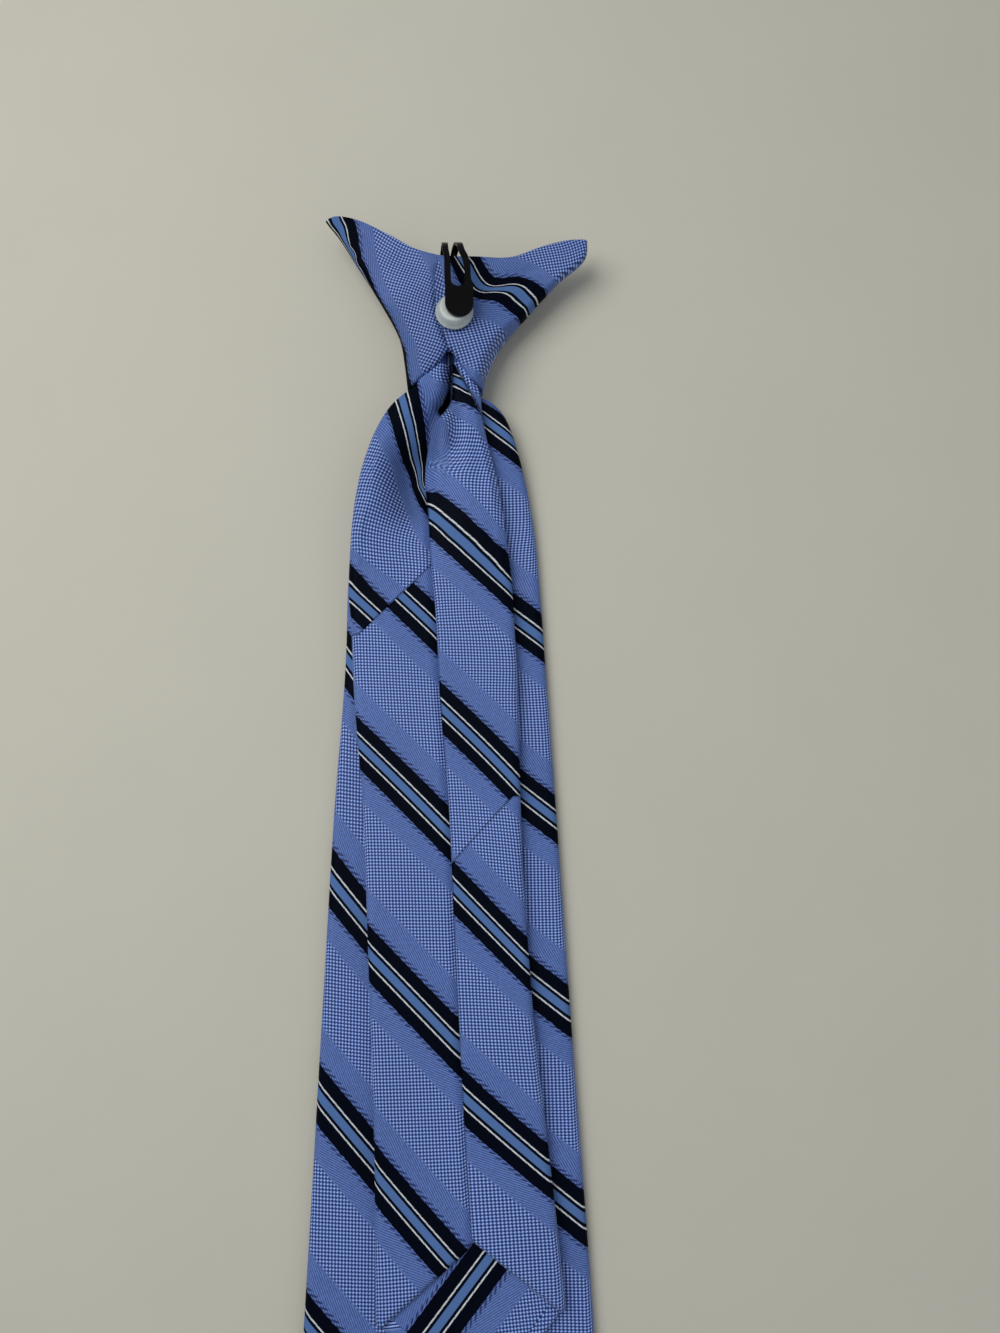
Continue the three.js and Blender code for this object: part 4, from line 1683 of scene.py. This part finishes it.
@dataclass(frozen=True)
class PointStitches:
    """Slip stitches that hold the tipping of a blade's point to the flaps' edges."""

    name: str
    ends: Ends
    height: float
    spacing: float = 3.6
    length: float = 1.3
    rise: float = 0.7
    thickness: float = 0.28
    slant: float = 34.0
    sway: float = 0.12
    seed: int = 5
    left_row: Pair = (0.1, 0.93)
    right_row: Pair = (0.07, 0.9)

    def build(self, thread: Material) -> Object:
        """Makes the stitches.

        Args:
            thread: The thread's material.

        Returns:
            The finished piece.
        """
        piece = self._path()
        tree = self._rule(thread)
        row = piece.modifiers.new("stitches", "NODES")
        row.node_group = tree
        sizes = {
            "Spacing": self.spacing * MM, "Length": self.length * MM, "Rise": self.rise * MM,
            "Thickness": self.thickness * MM, "Slant": math.radians(self.slant), "Seed": self.seed,
        }
        for item in tree.interface.items_tree:
            if item.name in sizes:
                row[item.identifier] = sizes[item.name]
        graph = bpy.context.evaluated_depsgraph_get()
        mesh = bpy.data.meshes.new_from_object(piece.evaluated_get(graph))
        piece.modifiers.clear()
        piece.data = mesh
        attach(piece, "root")
        log.info("%s: %d faces", self.name, len(mesh.polygons))
        return piece

    def _path(self) -> Object:
        """Draws the two lines that the stitches follow, along the flaps' lower edges.

        Returns:
            The lines, as an object of edges.
        """
        left, right, apex = (np.array(p) for p in (self.ends.left, self.ends.right, self.ends.apex))
        spots = [mix(left, apex, u) for u in self.left_row]
        spots += [mix(apex, right, u) for u in self.right_row]
        points = [((x + AXIS_X) * MM, y * MM, self.height * MM) for x, y in spots]
        mesh = bpy.data.meshes.new(self.name)
        mesh.from_pydata(points, [(0, 1), (2, 3)], [])
        piece = bpy.data.objects.new(self.name, mesh)
        bpy.context.scene.collection.objects.link(piece)
        return piece

    def _rule(self, thread: Material) -> NodeTree:
        """Puts a short arched thread at every step, turned across the line at a slant.

        Args:
            thread: The thread's material.

        Returns:
            The node tree, with the sizes as its inputs.
        """
        t = Nodes(bpy.data.node_groups.new(self.name, "GeometryNodeTree"))
        sockets = [("Geometry", "OUTPUT", "Geometry"), ("Geometry", "INPUT", "Geometry")]
        sizes = ("Spacing", "Length", "Rise", "Thickness", "Slant")
        sockets += [(name, "INPUT", "Float") for name in sizes] + [("Seed", "INPUT", "Int")]
        for name, way, kind in sockets:
            t.tree.interface.new_socket(name=name, in_out=way, socket_type=f"NodeSocket{kind}")
        given = t.node("NodeGroupInput").outputs

        def spot(across: float, up: float) -> NodeSocket:
            """A point of the arch, by shares of the stitch's length and rise."""
            y, z = t.mul(given["Length"], across), t.mul(given["Rise"], up)
            return t.node("ShaderNodeCombineXYZ", Y=y, Z=z).outputs[0]

        line = t.node("GeometryNodeMeshToCurve", Mesh=given["Geometry"]).outputs[0]
        steps = t.node(
            "GeometryNodeResampleCurve", {"mode": "LENGTH"}, Curve=line, Length=given["Spacing"]
        )
        arch = t.node(
            "GeometryNodeCurveQuadraticBezier", Resolution=8,
            Start=spot(0.5, 0.4), Middle=spot(-0.1, 0.9), End=spot(-0.5, -0.6),
        )
        radius = t.mul(given["Thickness"], 0.5)
        ring = t.node("GeometryNodeCurvePrimitiveCircle", Resolution=10, Radius=radius)
        stitch = t.node(
            "GeometryNodeCurveToMesh", Curve=arch.outputs[0], Profile_Curve=ring.outputs[0], Fill_Caps=True
        )
        tangent = t.node("GeometryNodeInputTangent").outputs[0]
        along = t.node(
            "FunctionNodeAlignRotationToVector", {"axis": "X", "pivot_axis": "Z"}, Vector=tangent
        )
        sway = t.node("FunctionNodeRandomValue", {"data_type": "FLOAT"}, Seed=given["Seed"])
        sway.inputs[2].default_value, sway.inputs[3].default_value = -self.sway, self.sway
        angle = t.add(given["Slant"], sway.outputs[1])
        lean = t.node("FunctionNodeAxisAngleToRotation", Angle=angle)
        turned = t.node(
            "FunctionNodeRotateRotation", {"rotation_space": "LOCAL"},
            Rotation=along.outputs[0], Rotate_By=lean.outputs[0],
        )
        row = t.node(
            "GeometryNodeInstanceOnPoints",
            Points=steps.outputs[0], Instance=stitch.outputs[0], Rotation=turned.outputs[0],
        )
        real = t.node("GeometryNodeRealizeInstances", Geometry=row.outputs[0])
        dressed = t.node("GeometryNodeSetMaterial", Geometry=real.outputs[0], Material=thread)
        t.node("NodeGroupOutput", Geometry=dressed.outputs[0])
        return t.tree


# Knot


SIDE_LEFT = SmoothCurve([
    (-9.6, 135.2, 7.6), (-10.4, 142.4, 7.4), (-12, 151, 7.4), (-17.7, 162, 8),
    (-23.4, 171, 9), (-28, 178.4, 9.8), (-31.8, 183.4, 10),
])
SIDE_RIGHT = SmoothCurve([
    (10.4, 135.2, 7.6), (11.7, 140.4, 7.4), (15.7, 149, 7.4), (22, 156, 7.8),
    (31.2, 165.6, 9), (38.4, 171.8, 10), (39.1, 177, 10),
])
TOP_FOLD = SmoothCurve([
    (-31.8, 183.4, 10), (-29.2, 184.5, 10), (-23.4, 183.4, 10), (-15.4, 179.2, 10),
    (-8, 174.6, 10), (-1, 172.4, 10), (9, 172, 10), (18, 172, 10),
    (27, 175.2, 10), (34, 176.9, 10), (39.1, 177, 10),
])
LOWER_BACK = SmoothCurve([
    (-9.6, 135.2, 7.6), (-4.6, 138.5, 7.5), (-1.2, 141.6, 7.5), (1.7, 145.1, 7.5),
    (5.2, 139.6, 7.5), (7.6, 136.8, 7.5), (10.4, 135.2, 7.6),
])
LOWER_FACE = SmoothCurve([(-9.6, 135.2, 7.6), (0.4, 133.4, 7.6), (10.4, 135.2, 7.6)])
KNOT_DEPTH = Stations(
    ("level", "back", "face", "side"),
    (
        (0, 5.4, 6.4, 3.6),
        (0.12, 6.0, 6.8, 3.45),
        (0.3, 6.4, 7.2, 3.2),
        (0.55, 4.9, 7.8, 2.5),
        (0.8, 3.1, 7, 1.9),
        (1, 2.6, 5, 1.7),
    ),
)
KNOT_SEAM = ((1.9, 138.0), (1.6, 145.7), (0.2, 149.0), (-0.8, 152.0), (-2.0, 157.0), (-2.0, 162.0),
             (-1.9, 167.1), (-1.2, 170.5), (-1.0, 174.0))
BOSS = (3.2, 154.5)


LEFT_PANEL = StripeField(
    lines=(
        (-1.85, (-31.4, 183.5), (-29.9, 180.8), (-27.6, 177.8), (-25.6, 174.8), (-24.1, 171.8)),
        (0, (-28.8, 184.1), (-27.6, 180.8), (-26.4, 177.5)),
        (1.85, (-27.3, 183.7), (-26, 181), (-25.3, 177.4), (-24.8, 175.1), (-23.4, 171.5),
         (-21.6, 168.2)),
        (5, (-24.1, 183.4), (-23.2, 180.7), (-22.4, 177.7), (-22.1, 174.7), (-20.9, 170.6),
         (-19.5, 167)),
        (4.4, (-16.5, 160)),
        (4.2, (-14.3, 155.9)),
        (4.1, (-12.1, 150.6)),
        (4.2, (-10.4, 146)),
        (4.8, (-9, 138)),
        (10.6, (-19, 179.5), (-17.9, 171.2)),
        (10.4, (-15.4, 163.5), (-12.3, 157.1), (-9.3, 150.1)),
        (10.2, (-6.9, 141)),
        (21.5, (-11.9, 174.6)),
        (23, (-5.4, 164.6)),
        (22, (-1.6, 155.2)),
        (19, (1.4, 144.7)),
        (28, (-4, 172)),
        (26.5, (-2, 163)),
    ),
    low=(-34, 132),
    high=(8, 187),
)
RIGHT_PANEL = StripeField(
    lines=(
        (5, (10.2, 170.9), (11.3, 168.8), (12.9, 166.4), (15, 165.6), (17.5, 165.9),
         (19.7, 166.3), (22.4, 165.7), (25.1, 164.2), (27.8, 162.1)),
        (1.85, (8, 169.8), (9.2, 167.3), (10.4, 165.3), (11.8, 163.9), (13.4, 163.2),
         (15.6, 163.4), (18, 164), (20.7, 163.6), (23.4, 161.4), (26.6, 158.4)),
        (-1.85, (3.1, 171.5), (4.4, 169), (5.9, 166.5), (7.9, 162.8), (9.3, 161.5), (11.2, 161),
         (13.6, 161.1), (16.3, 160.9), (19, 159.3), (21.7, 157.3), (23.6, 155.5)),
        (-5, (3.4, 166.4), (4.9, 163), (8.5, 159.5), (10.9, 158.7), (14.1, 158.5), (16.3, 157.3),
         (19, 155.3), (21.4, 154.1)),
        (-11.5, (-0.9, 168.6)),
        (-13, (-0.5, 160)),
        (-11, (9.8, 152.9), (13.5, 151.9), (16.8, 150.2)),
        (11, (17.6, 172.5), (20.8, 170.7), (26.3, 168.3), (30.6, 164.7)),
        (19, (38.6, 175.2)),
        (17, (35.7, 169.9)),
        (-23.5, (3.3, 144.4)),
        (-27, (8, 137.5)),
        (-20.5, (14, 142.9)),
    ),
    low=(-6, 132),
    high=(42, 180),
)


class Side(Enum):
    """The two sides of the knot's cloth."""

    BACK = "back"
    FACE = "face"


KNOT_EDGES = {Side.BACK: LOWER_BACK, Side.FACE: LOWER_FACE}


@dataclass
class Knot:
    """The knot's cloth: one sheet wrapped round from its back seam, over its face and back.

    A point's share runs from 0 at the left fold to 1 at the right one, and its level
    from 0 at a lower edge to 1 at the top fold.
    """

    name: str = "knot_cloth"
    node: str = "knot_wrap"
    rows: int = 90
    panel_steps: int = 64
    hole: float = 4.3
    thickness: float = 0.85
    lap: float = 1.4
    lap_drop: float = 0.95
    slot_from: float = 0.93
    slot_share: float = 0.012
    middle: float = 2.5
    body: float = 15.0
    hem_width: float = 2.6
    hem_drop: float = 0.9
    # painted shade: the whole back is darkened evenly, and more low down and along the seam
    overall_painted_shade: float = 0.1
    face_lean: Pair = (0.42, 0.91)
    shades: tuple[Crease, ...] = (
        Crease(((-15.0, 162.0), (-8.0, 144.0), (3.0, 143.0), (9.0, 141.0)), 9.0, 0.14, 0.15),
        Crease(((-1.6, 170.0), (-1.9, 162.0), (-1.0, 153.0), (1.2, 146.5)), 1.3, 0.2, 0.1),
    )
    creases: tuple[Crease, ...] = (
        Crease(((4.5, 160.0), (12.0, 163.5), (20.0, 166.0), (30.0, 170.0)), 3.0, -0.7, 0.3),
        Crease(((8.0, 157.0), (15.0, 160.5), (22.0, 162.5), (29.0, 166.0)), 2.6, 0.7, 0.3),
        Crease(((6.5, 150.0), (9.0, 146.0), (10.5, 141.0)), 2.6, 0.35, 0.3),
        Crease(((-4.0, 153.0), (-12.0, 164.0), (-20.0, 173.0)), 5.0, 0.5, 0.3),
        Crease(((-4.0, 166.0), (-9.0, 170.0), (-14.0, 174.0)), 3.0, -0.5, 0.3),
        Crease(((-7.0, 141.0), (-10.0, 151.0), (-15.0, 160.0), (-21.0, 169.0)), 3.4, -0.9, 0.3),
    )

    def build(self, silk: Material) -> Object:
        """Makes the knot's cloth.

        Args:
            silk: The cloth's material.

        Returns:
            The finished sheet.
        """
        levels = np.sin(np.linspace(0, math.pi / 2, self.rows))[::-1]
        seam = self._seam_share(levels)[:, None]
        left, right = self._shares(seam, levels[:, None])
        whole = np.sort(np.concatenate([left, right[:, :-1]], axis=1), axis=1)
        left_points = self._surface(Side.BACK, left, levels, tucked=seam)
        right_points = self._surface(Side.BACK, right, levels)
        face_points = self._surface(Side.FACE, whole, levels)
        left_maps = self._stripes(LEFT_PANEL, left_points)
        left_maps[0] = left_maps[0] - self._down_wall(left_points)
        right_maps = self._stripes(RIGHT_PANEL, right_points)
        patches = [
            self._panel(left_points, left_maps),
            self._face(face_points, left_maps[0][:, -1:], -right_maps[0][:, :1] - REPEAT),
            self._panel(right_points, right_maps),
        ]
        piece = SheetMesh(self.name, patches).weld(0.015).thicken(self.thickness).finish(silk)
        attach(piece, "root")
        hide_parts(self.node)
        wide, long, area = self._cut([left_points, face_points, right_points])
        log.info("%s: cloth of %.0f by %.0f mm", self.name, wide, long)
        return piece

    def _shares(self, seam: Array, levels: Array) -> tuple[Array, Array]:
        """Spreads the two panels' columns, close together at the side folds.

        Args:
            seam: The seam's share at each level.
            levels: The levels.

        Returns:
            The shares of the left panel, from the seam out, and of the right one, inward.
        """
        outward = 1 - np.sin(np.linspace(0, math.pi / 2, self.panel_steps + 1))
        run_on = self.lap / self._width(levels)
        slot = np.clip((levels - self.slot_from) / (1 - self.slot_from), 0, 1) * self.slot_share
        left = (seam + run_on - slot * 1.6) * outward
        return left, 1 - (1 - seam - slot) * outward[::-1]

    def _panel(self, points: Array, maps: list[Array]) -> Patch:
        """A back panel, with its hole for the boss and its painted shade."""
        shade = self.overall_painted_shade + lifted(self.shades, points[..., 0], points[..., 1])
        return woven(points, *maps, keep=self._clear_of_boss(points), shade=shade)

    def _face(self, points: Array, left: Array, right: Array) -> Patch:
        """The face, whose stripes run on from those of the panels at the side folds.

        Args:
            points: The face's points.
            left: Distances across the stripes at the left fold.
            right: Those at the right fold.

        Returns:
            The patch.
        """
        steps = np.diff(points, axis=1, prepend=points[:, :1])
        run = np.cumsum(np.linalg.norm(steps, axis=2), axis=1)
        lean, rise = self.face_lean
        x, y = points[..., 0], points[..., 1]
        across = mix(left, right, run / run[:, -1:])
        return woven(points, across, rise * y - lean * x, -rise * x - lean * y)

    def _cut(self, grids: list[Array]) -> tuple[float, float, float]:
        """Measures the cloth laid flat.

        Args:
            grids: The three patches' points.

        Returns:
            Its greatest width and length, and its area.
        """
        across, down, area = np.zeros(self.rows), 0.0, 0.0
        for grid in grids:
            wide, long = np.diff(grid, axis=1), np.diff(grid, axis=0)
            across += np.linalg.norm(wide, axis=2).sum(axis=1)
            down = max(down, np.linalg.norm(long, axis=2).sum(axis=0).max())
            area += np.linalg.norm(np.cross(long[:, :-1], wide[:-1]), axis=2).sum()
        return float(across.max()), float(down), float(area)

    def _stripes(self, panel: StripeField, points: Array) -> list[Array]:
        """Distances across and along the stripes, and across for the weave, over a panel."""
        x, y = points[..., 0], points[..., 1]
        return [panel.across(x, y), panel.even(x, y, True), panel.even(x, y, False)]

    def _down_wall(self, points: Array) -> Array:
        """Measures how far down its steep outer edge a panel's points lie.

        Args:
            points: The panel's points, from the seam out.

        Returns:
            The cloth's length beyond what is seen of it from above.
        """
        steps = np.diff(points, axis=1, prepend=points[:, :1])
        steep = np.linalg.norm(steps, axis=2) - 1.5 * np.linalg.norm(steps[..., :2], axis=2)
        steep[:, : points.shape[1] // 2] = 0
        return np.cumsum(np.clip(steep, 0, None), axis=1)

    def _clear_of_boss(self, points: Array) -> Array:
        """Which quads stay, away from the hole for the boss."""
        middle = (points[:-1, :-1] + points[1:, 1:]) / 2
        return np.hypot(middle[..., 0] - BOSS[0], middle[..., 1] - BOSS[1]) > self.hole

    def _patch_points(self, side: Side, share: Array, level: Array) -> Array:
        """Spans a smooth patch between the side folds, the top fold and a lower edge.

        Args:
            side: Whose lower edge it is.
            share: The points' shares.
            level: Their levels.

        Returns:
            The points.
        """
        low, high = KNOT_EDGES[side], TOP_FOLD
        first, last = np.zeros(1), np.ones(1)
        s, t = share[..., None], level[..., None]
        return (
            SIDE_LEFT.at(level) * (1 - s) + SIDE_RIGHT.at(level) * s
            + low.at(share) * (1 - t) + high.at(share) * t
            - low.at(first)[0] * (1 - s) * (1 - t) - low.at(last)[0] * s * (1 - t)
            - high.at(first)[0] * (1 - s) * t - high.at(last)[0] * s * t
        )

    def _surface(self, side: Side, share: Array, levels: Array,
                 tucked: Array | None = None) -> Array:
        """Places points on the cloth's outside.

        Args:
            side: The side of the knot.
            share: The points' shares.
            levels: The levels of their rows.
            tucked: The seam's share at each level, for a panel that runs on below it.

        Returns:
            The points.
        """
        level = np.repeat(levels[:, None], share.shape[1], axis=1)
        point = self._patch_points(side, share, level)
        x, y = point[..., 0], point[..., 1]
        depth = KNOT_DEPTH.at(level)
        width = self._width(level)
        length = np.linalg.norm(KNOT_EDGES[side].at(share) - TOP_FOLD.at(share), axis=-1)
        edge = np.minimum(depth["side"], width / 3)
        from_side = rounded(np.minimum(share, 1 - share) * width, edge)
        from_top = rounded((1 - level) * length, edge)
        bulk = np.exp(-((np.abs(x - self.middle) / self.body) ** 3))
        height = mix(depth["side"], depth[side.value], bulk) * from_side * from_top
        if side is Side.BACK:
            height = height + lifted(self.creases, x, y) * (from_side * from_top)
            hem = 1 - rounded(level * length, self.hem_width)
            height = height - self.hem_drop * hem * from_side
        if tucked is not None:
            past = (share - tucked) * width
            deep = np.clip(1.15 - level, 0, 1)
            height = height - self.lap_drop * smooth((past + 1.4) / 1.9) * deep
        sign = 1 if side is Side.BACK else -1
        return point + np.stack([np.zeros_like(x), np.zeros_like(x), sign * height], axis=-1)

    def _width(self, level: Array) -> Array:
        """The straight width between the side folds."""
        return np.linalg.norm(SIDE_LEFT.at(level) - SIDE_RIGHT.at(level), axis=-1)

    def _seam_share(self, levels: Array) -> Array:
        """Finds how far across the back the seam lies.

        Args:
            levels: The levels to look at.

        Returns:
            The seam's share at each.
        """
        seam = np.array(KNOT_SEAM)
        tries = np.linspace(0.2, 0.8, 400)
        shares = []
        for level in levels:
            points = self._patch_points(Side.BACK, tries, np.full_like(tries, level))
            over = points[:, 0] - np.interp(points[:, 1], seam[:, 1], seam[:, 0])
            shares.append(float(np.interp(0.0, over, tries)))
        return np.array(shares)


# Former and clip


@dataclass
class Former:
    """The plastic former inside the knot, with the turned boss that shows behind.

    The boss is turned from its profile of radii and heights. The plate's corners are
    places across from the boss and along the tie.
    """

    name: str = "former_and_boss"
    node: str = "knot_former"
    sides: int = 64
    profile: tuple[Pair, ...] = (
        (0.0, 17.35), (2.6, 17.35), (3.55, 17.33), (3.8, 17.2), (4.05, 16.8), (4.45, 15.8),
        (4.75, 15.2), (4.97, 14.95), (5.0, 14.7), (4.9, 14.45), (4.6, 14.27), (3.9, 14.1),
        (3.5, 13.7), (3.4, 13.0), (3.4, 9.1), (3.6, 8.9),
    )
    corners: tuple[Pair, ...] = (
        (-7.5, 150.5), (7.5, 150.5), (9.5, 166.0), (-9.5, 166.0),
    )
    plate_low: float = 5.6
    plate_high: float = 8.9
    softened: float = 0.25

    def build(self, plastic: Material) -> Object:
        """Makes the boss and its plate.

        Args:
            plastic: The material.

        Returns:
            The finished piece.
        """
        build = bmesh.new()
        self._boss(build)
        self._plate(build)
        for vert in build.verts:
            vert.co = (Vector(vert.co) + Vector((AXIS_X, 0, 0))) * MM
        mesh = bpy.data.meshes.new(self.name)
        build.to_mesh(mesh)
        build.free()
        piece = bpy.data.objects.new(self.name, mesh)
        bpy.context.scene.collection.objects.link(piece)
        mesh.polygons.foreach_set("use_smooth", np.ones(len(mesh.polygons), bool))
        mesh.materials.append(plastic)
        edge = piece.modifiers.new("edge", "BEVEL")
        edge.width, edge.segments, edge.limit_method = self.softened * MM, 2, "ANGLE"
        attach(piece, "root")
        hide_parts(self.node)
        log.info("%s: %d faces", self.name, len(mesh.polygons))
        return piece

    def _boss(self, build: bmesh.types.BMesh) -> None:
        """Turns the boss.

        Args:
            build: The mesh that it is added to.
        """
        rings = []
        for radius, z in self.profile:
            count = 1 if radius == 0 else self.sides
            angles = [2 * math.pi * n / count for n in range(count)]
            rings.append([
                build.verts.new((BOSS[0] + radius * math.cos(a), BOSS[1] + radius * math.sin(a), z))
                for a in angles
            ])
        for n in range(self.sides):
            m = (n + 1) % self.sides
            build.faces.new((rings[0][0], rings[1][n], rings[1][m]))
            for above, below in zip(rings[1:-1], rings[2:]):
                build.faces.new((above[n], below[n], below[m], above[m]))
        build.faces.new(list(reversed(rings[-1])))

    def _plate(self, build: bmesh.types.BMesh) -> None:
        """Adds the plate under the boss, wider at the knot's top.

        Args:
            build: The mesh that it is added to.
        """
        low, high = (
            [build.verts.new((BOSS[0] + x, y, z)) for x, y in self.corners]
            for z in (self.plate_low, self.plate_high)
        )
        build.faces.new(high)
        build.faces.new(list(reversed(low)))
        for n in range(4):
            m = (n + 1) % 4
            build.faces.new((low[n], low[m], high[m], high[n]))


@dataclass
class SpringClip:
    """The sprung strip: a round-ended plate that parts into two prongs over the bend.

    Each row of the bend is a place along the tie, the height of the strip's middle, and
    the strip's four edges from left to right.
    """

    name: str = "clip_strip"
    node: str = "spring_clip"
    low: float = 151.4
    slot: float = 159.7
    slot_half: float = 1.5
    middle: float = 4.63
    half_width: float = 3.7
    plate_height: float = 18.0
    thickness: float = 0.7
    softened: float = 0.22
    plate_steps: int = 26
    bend_steps: int = 110
    wide_steps: int = 9
    bar_ends: Pair = (-1.4, 3.4)
    bar_span: Pair = (163.0, 161.0)
    bar_height: float = 9.85
    bend: tuple[tuple[float, ...], ...] = (
        (159.7, 18.0, 0.93, 2.7, 6.1, 8.33),
        (162.0, 17.97, 0.8, 2.5, 6.05, 7.75),
        (165.0, 17.85, 0.77, 2.45, 5.95, 7.6),
        (168.0, 17.6, 0.7, 2.3, 5.35, 7.1),
        (170.4, 17.2, 0.3, 1.9, 4.4, 6.1),
        (172.2, 16.45, 0.1, 1.7, 4.0, 5.65),
        (173.4, 15.3, -0.05, 1.5, 3.5, 5.2),
        (173.85, 13.9, -0.25, 1.35, 2.95, 4.75),
        (173.6, 12.4, -0.45, 1.2, 2.5, 4.35),
        (172.8, 11.3, -0.65, 1.0, 2.15, 4.0),
        (171.4, 10.6, -0.85, 0.8, 1.95, 3.7),
        (169.0, 10.2, -1.0, 0.55, 1.85, 3.5),
        (162.0, 9.85, -1.4, 0.3, 1.8, 3.4),
    )

    def build(self, steel: Material) -> Object:
        """Makes the clip.

        Args:
            steel: The material.

        Returns:
            The finished piece.
        """
        patches = [self._arm(left=True), self._arm(left=False), self._bar()]
        piece = SheetMesh(self.name, patches).weld(0.03).thicken(self.thickness, 0.0).finish(steel)
        edge = piece.modifiers.new("edge", "BEVEL")
        edge.width, edge.segments, edge.limit_method = self.softened * MM, 3, "ANGLE"
        edge.angle_limit = math.radians(50)
        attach(piece, "root")
        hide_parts(self.node)
        log.info("%s: %d faces", self.name, len(piece.data.polygons))
        return piece

    def _arm(self, left: bool) -> Patch:
        """Makes one half of the strip, from the round end over the bend to its inner end.

        Args:
            left: Whether it is the left half.

        Returns:
            The half, as a grid.
        """
        along = 1 - np.cos(np.linspace(0.06, math.pi / 2, self.plate_steps))
        plate = self.low + (self.slot - self.low) * along
        rest = np.clip(self.low + self.half_width - plate, 0, self.half_width)
        half = np.sqrt(self.half_width**2 - rest**2) * (-1 if left else 1)
        rows = [(y, self.plate_height, self.middle + h, self.middle) for y, h in zip(plate, half)]
        inner_edge, outer_edge = (3, 2) if left else (4, 5)
        curve = SmoothCurve([(row[0], row[1], row[inner_edge], row[outer_edge]) for row in self.bend])
        for y, z, inner, outer in curve.at(np.linspace(0, 1, self.bend_steps))[1:]:
            if z > 17 and y - self.slot < self.slot_half:
                share = math.sqrt(max(0.0, 1 - (1 - (y - self.slot) / self.slot_half) ** 2))
                inner = mix(self.middle, inner, share)
            rows.append((y, z, outer, inner))
        steps = np.linspace(0, 1, self.wide_steps)
        grid = np.array([[(mix(o, i, u), y, z) for u in steps] for y, z, o, i in rows])
        return Patch((grid if left else grid[:, ::-1])[::-1], {})

    def _bar(self) -> Patch:
        """The cross bar that joins the prongs' ends inside the knot."""
        x, y = np.meshgrid(np.linspace(*self.bar_ends, 8), np.linspace(*self.bar_span, 4))
        return Patch(np.stack([x, y, np.full_like(x, self.bar_height)], axis=-1)[::-1], {})


# Stage


@dataclass(frozen=True)
class Studio:
    """The plain pale floor, the soft light and the camera.

    Places and sizes are in millimetres, but the floor's side is in metres.
    """

    camera_place: tuple[float, float, float] = (12.68, 23.85, 261.0)
    tilt: float = 8.4
    roll: float = 0.0115
    lens: float = 27.03
    sensor: float = 36.0
    floor_side: float = 3.0
    lit_spot: tuple[float, float, float] = (0.0, 30.0, 0.0)
    sky: Colour = (0.93, 0.96, 1.0, 1.0)
    sky_strength: float = 0.33

    def build(self, floor_material: Material) -> None:
        """Sets up the stage.

        Args:
            floor_material: The floor's material.
        """
        self._floor(floor_material)
        self._camera()
        self._light("key", (-280, 220, 560), 470, 3.0, (1.0, 0.985, 0.95))
        self._light("fill", (420, -180, 480), 600, 0.5, (0.9, 0.95, 1.0))
        world = bpy.data.worlds.new("studio")
        world.use_nodes = True
        background = world.node_tree.nodes["Background"]
        background.inputs["Color"].default_value = self.sky
        background.inputs["Strength"].default_value = self.sky_strength
        bpy.context.scene.world = world
        bpy.context.scene.view_settings.view_transform = "Standard"

    def _floor(self, material: Material) -> None:
        """Lays a wide level floor under the tie.

        Args:
            material: The floor's material.
        """
        mesh = bpy.data.meshes.new("floor")
        side = self.floor_side / 2
        corners = [(-side, -side, 0), (side, -side, 0), (side, side, 0), (-side, side, 0)]
        mesh.from_pydata(corners, [], [(0, 1, 2, 3)])
        mesh.materials.append(material)
        floor = bpy.data.objects.new("floor", mesh)
        bpy.context.scene.collection.objects.link(floor)

    def _light(self, name: str, place: tuple[float, float, float], size: float, power: float,
               colour: tuple[float, float, float]) -> None:
        """Hangs a square soft light that faces the tie.

        Args:
            name: The light's name.
            place: Where it hangs.
            size: Its side.
            power: Its power in watts.
            colour: Its colour.
        """
        data = bpy.data.lights.new(name, "AREA")
        data.size, data.energy, data.color = size * MM, power, colour
        light = bpy.data.objects.new(name, data)
        light.location = Vector(place) * MM
        towards = Vector(self.lit_spot) * MM - light.location
        light.rotation_euler = towards.to_track_quat("-Z", "Y").to_euler()
        bpy.context.scene.collection.objects.link(light)

    def _camera(self) -> None:
        """Puts the camera over the tie, a little tilted towards the knot."""
        data = bpy.data.cameras.new("camera")
        data.lens, data.sensor_width, data.sensor_fit = self.lens, self.sensor, "AUTO"
        data.clip_start, data.clip_end = 0.01, 10.0
        camera = bpy.data.objects.new("camera", data)
        tilt = math.radians(self.tilt)
        right = Vector((1, -self.roll, 0)).normalized()
        level = Vector((self.roll, 1, 0)).normalized()
        up = level * math.cos(tilt) + Vector((0, 0, math.sin(tilt)))
        turn = Matrix((right, up, right.cross(up))).transposed()
        camera.matrix_world = Matrix.Translation(Vector(self.camera_place) * MM) @ turn.to_4x4()
        bpy.context.scene.collection.objects.link(camera)
        bpy.context.scene.camera = camera


def main() -> None:
    """Builds the tie on its stage."""
    logging.basicConfig(level=logging.INFO, format="%(message)s")
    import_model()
    Studio().build(PaleFloor().make())
    silk = WovenSilk().make()
    front_blade().build(silk)
    tail_blade().build(silk)
    front, tail = front_blade().ends, tail_blade().ends
    Tipping("front_tipping_cloth", "front_tipping", front, 0.0, 4.0, 12.0, (0.0, -150.0),
            "front_blade_cloth").build(silk)
    Tipping("tail_tipping_cloth", "tail_tipping", tail, 4.1, 3.4, 8.0, (10.3, -79.4),
            "tail_blade_cloth").build(silk)
    thread = BlueThread().make()
    PointStitches("front_point_stitches", front, 3.05).build(thread)
    PointStitches("tail_point_stitches", tail, 7.15).build(thread)
    Knot().build(silk)
    Former().build(MilkyPlastic().make())
    SpringClip().build(GlossBlackSteel().make())


if __name__ == "__main__":
    main()
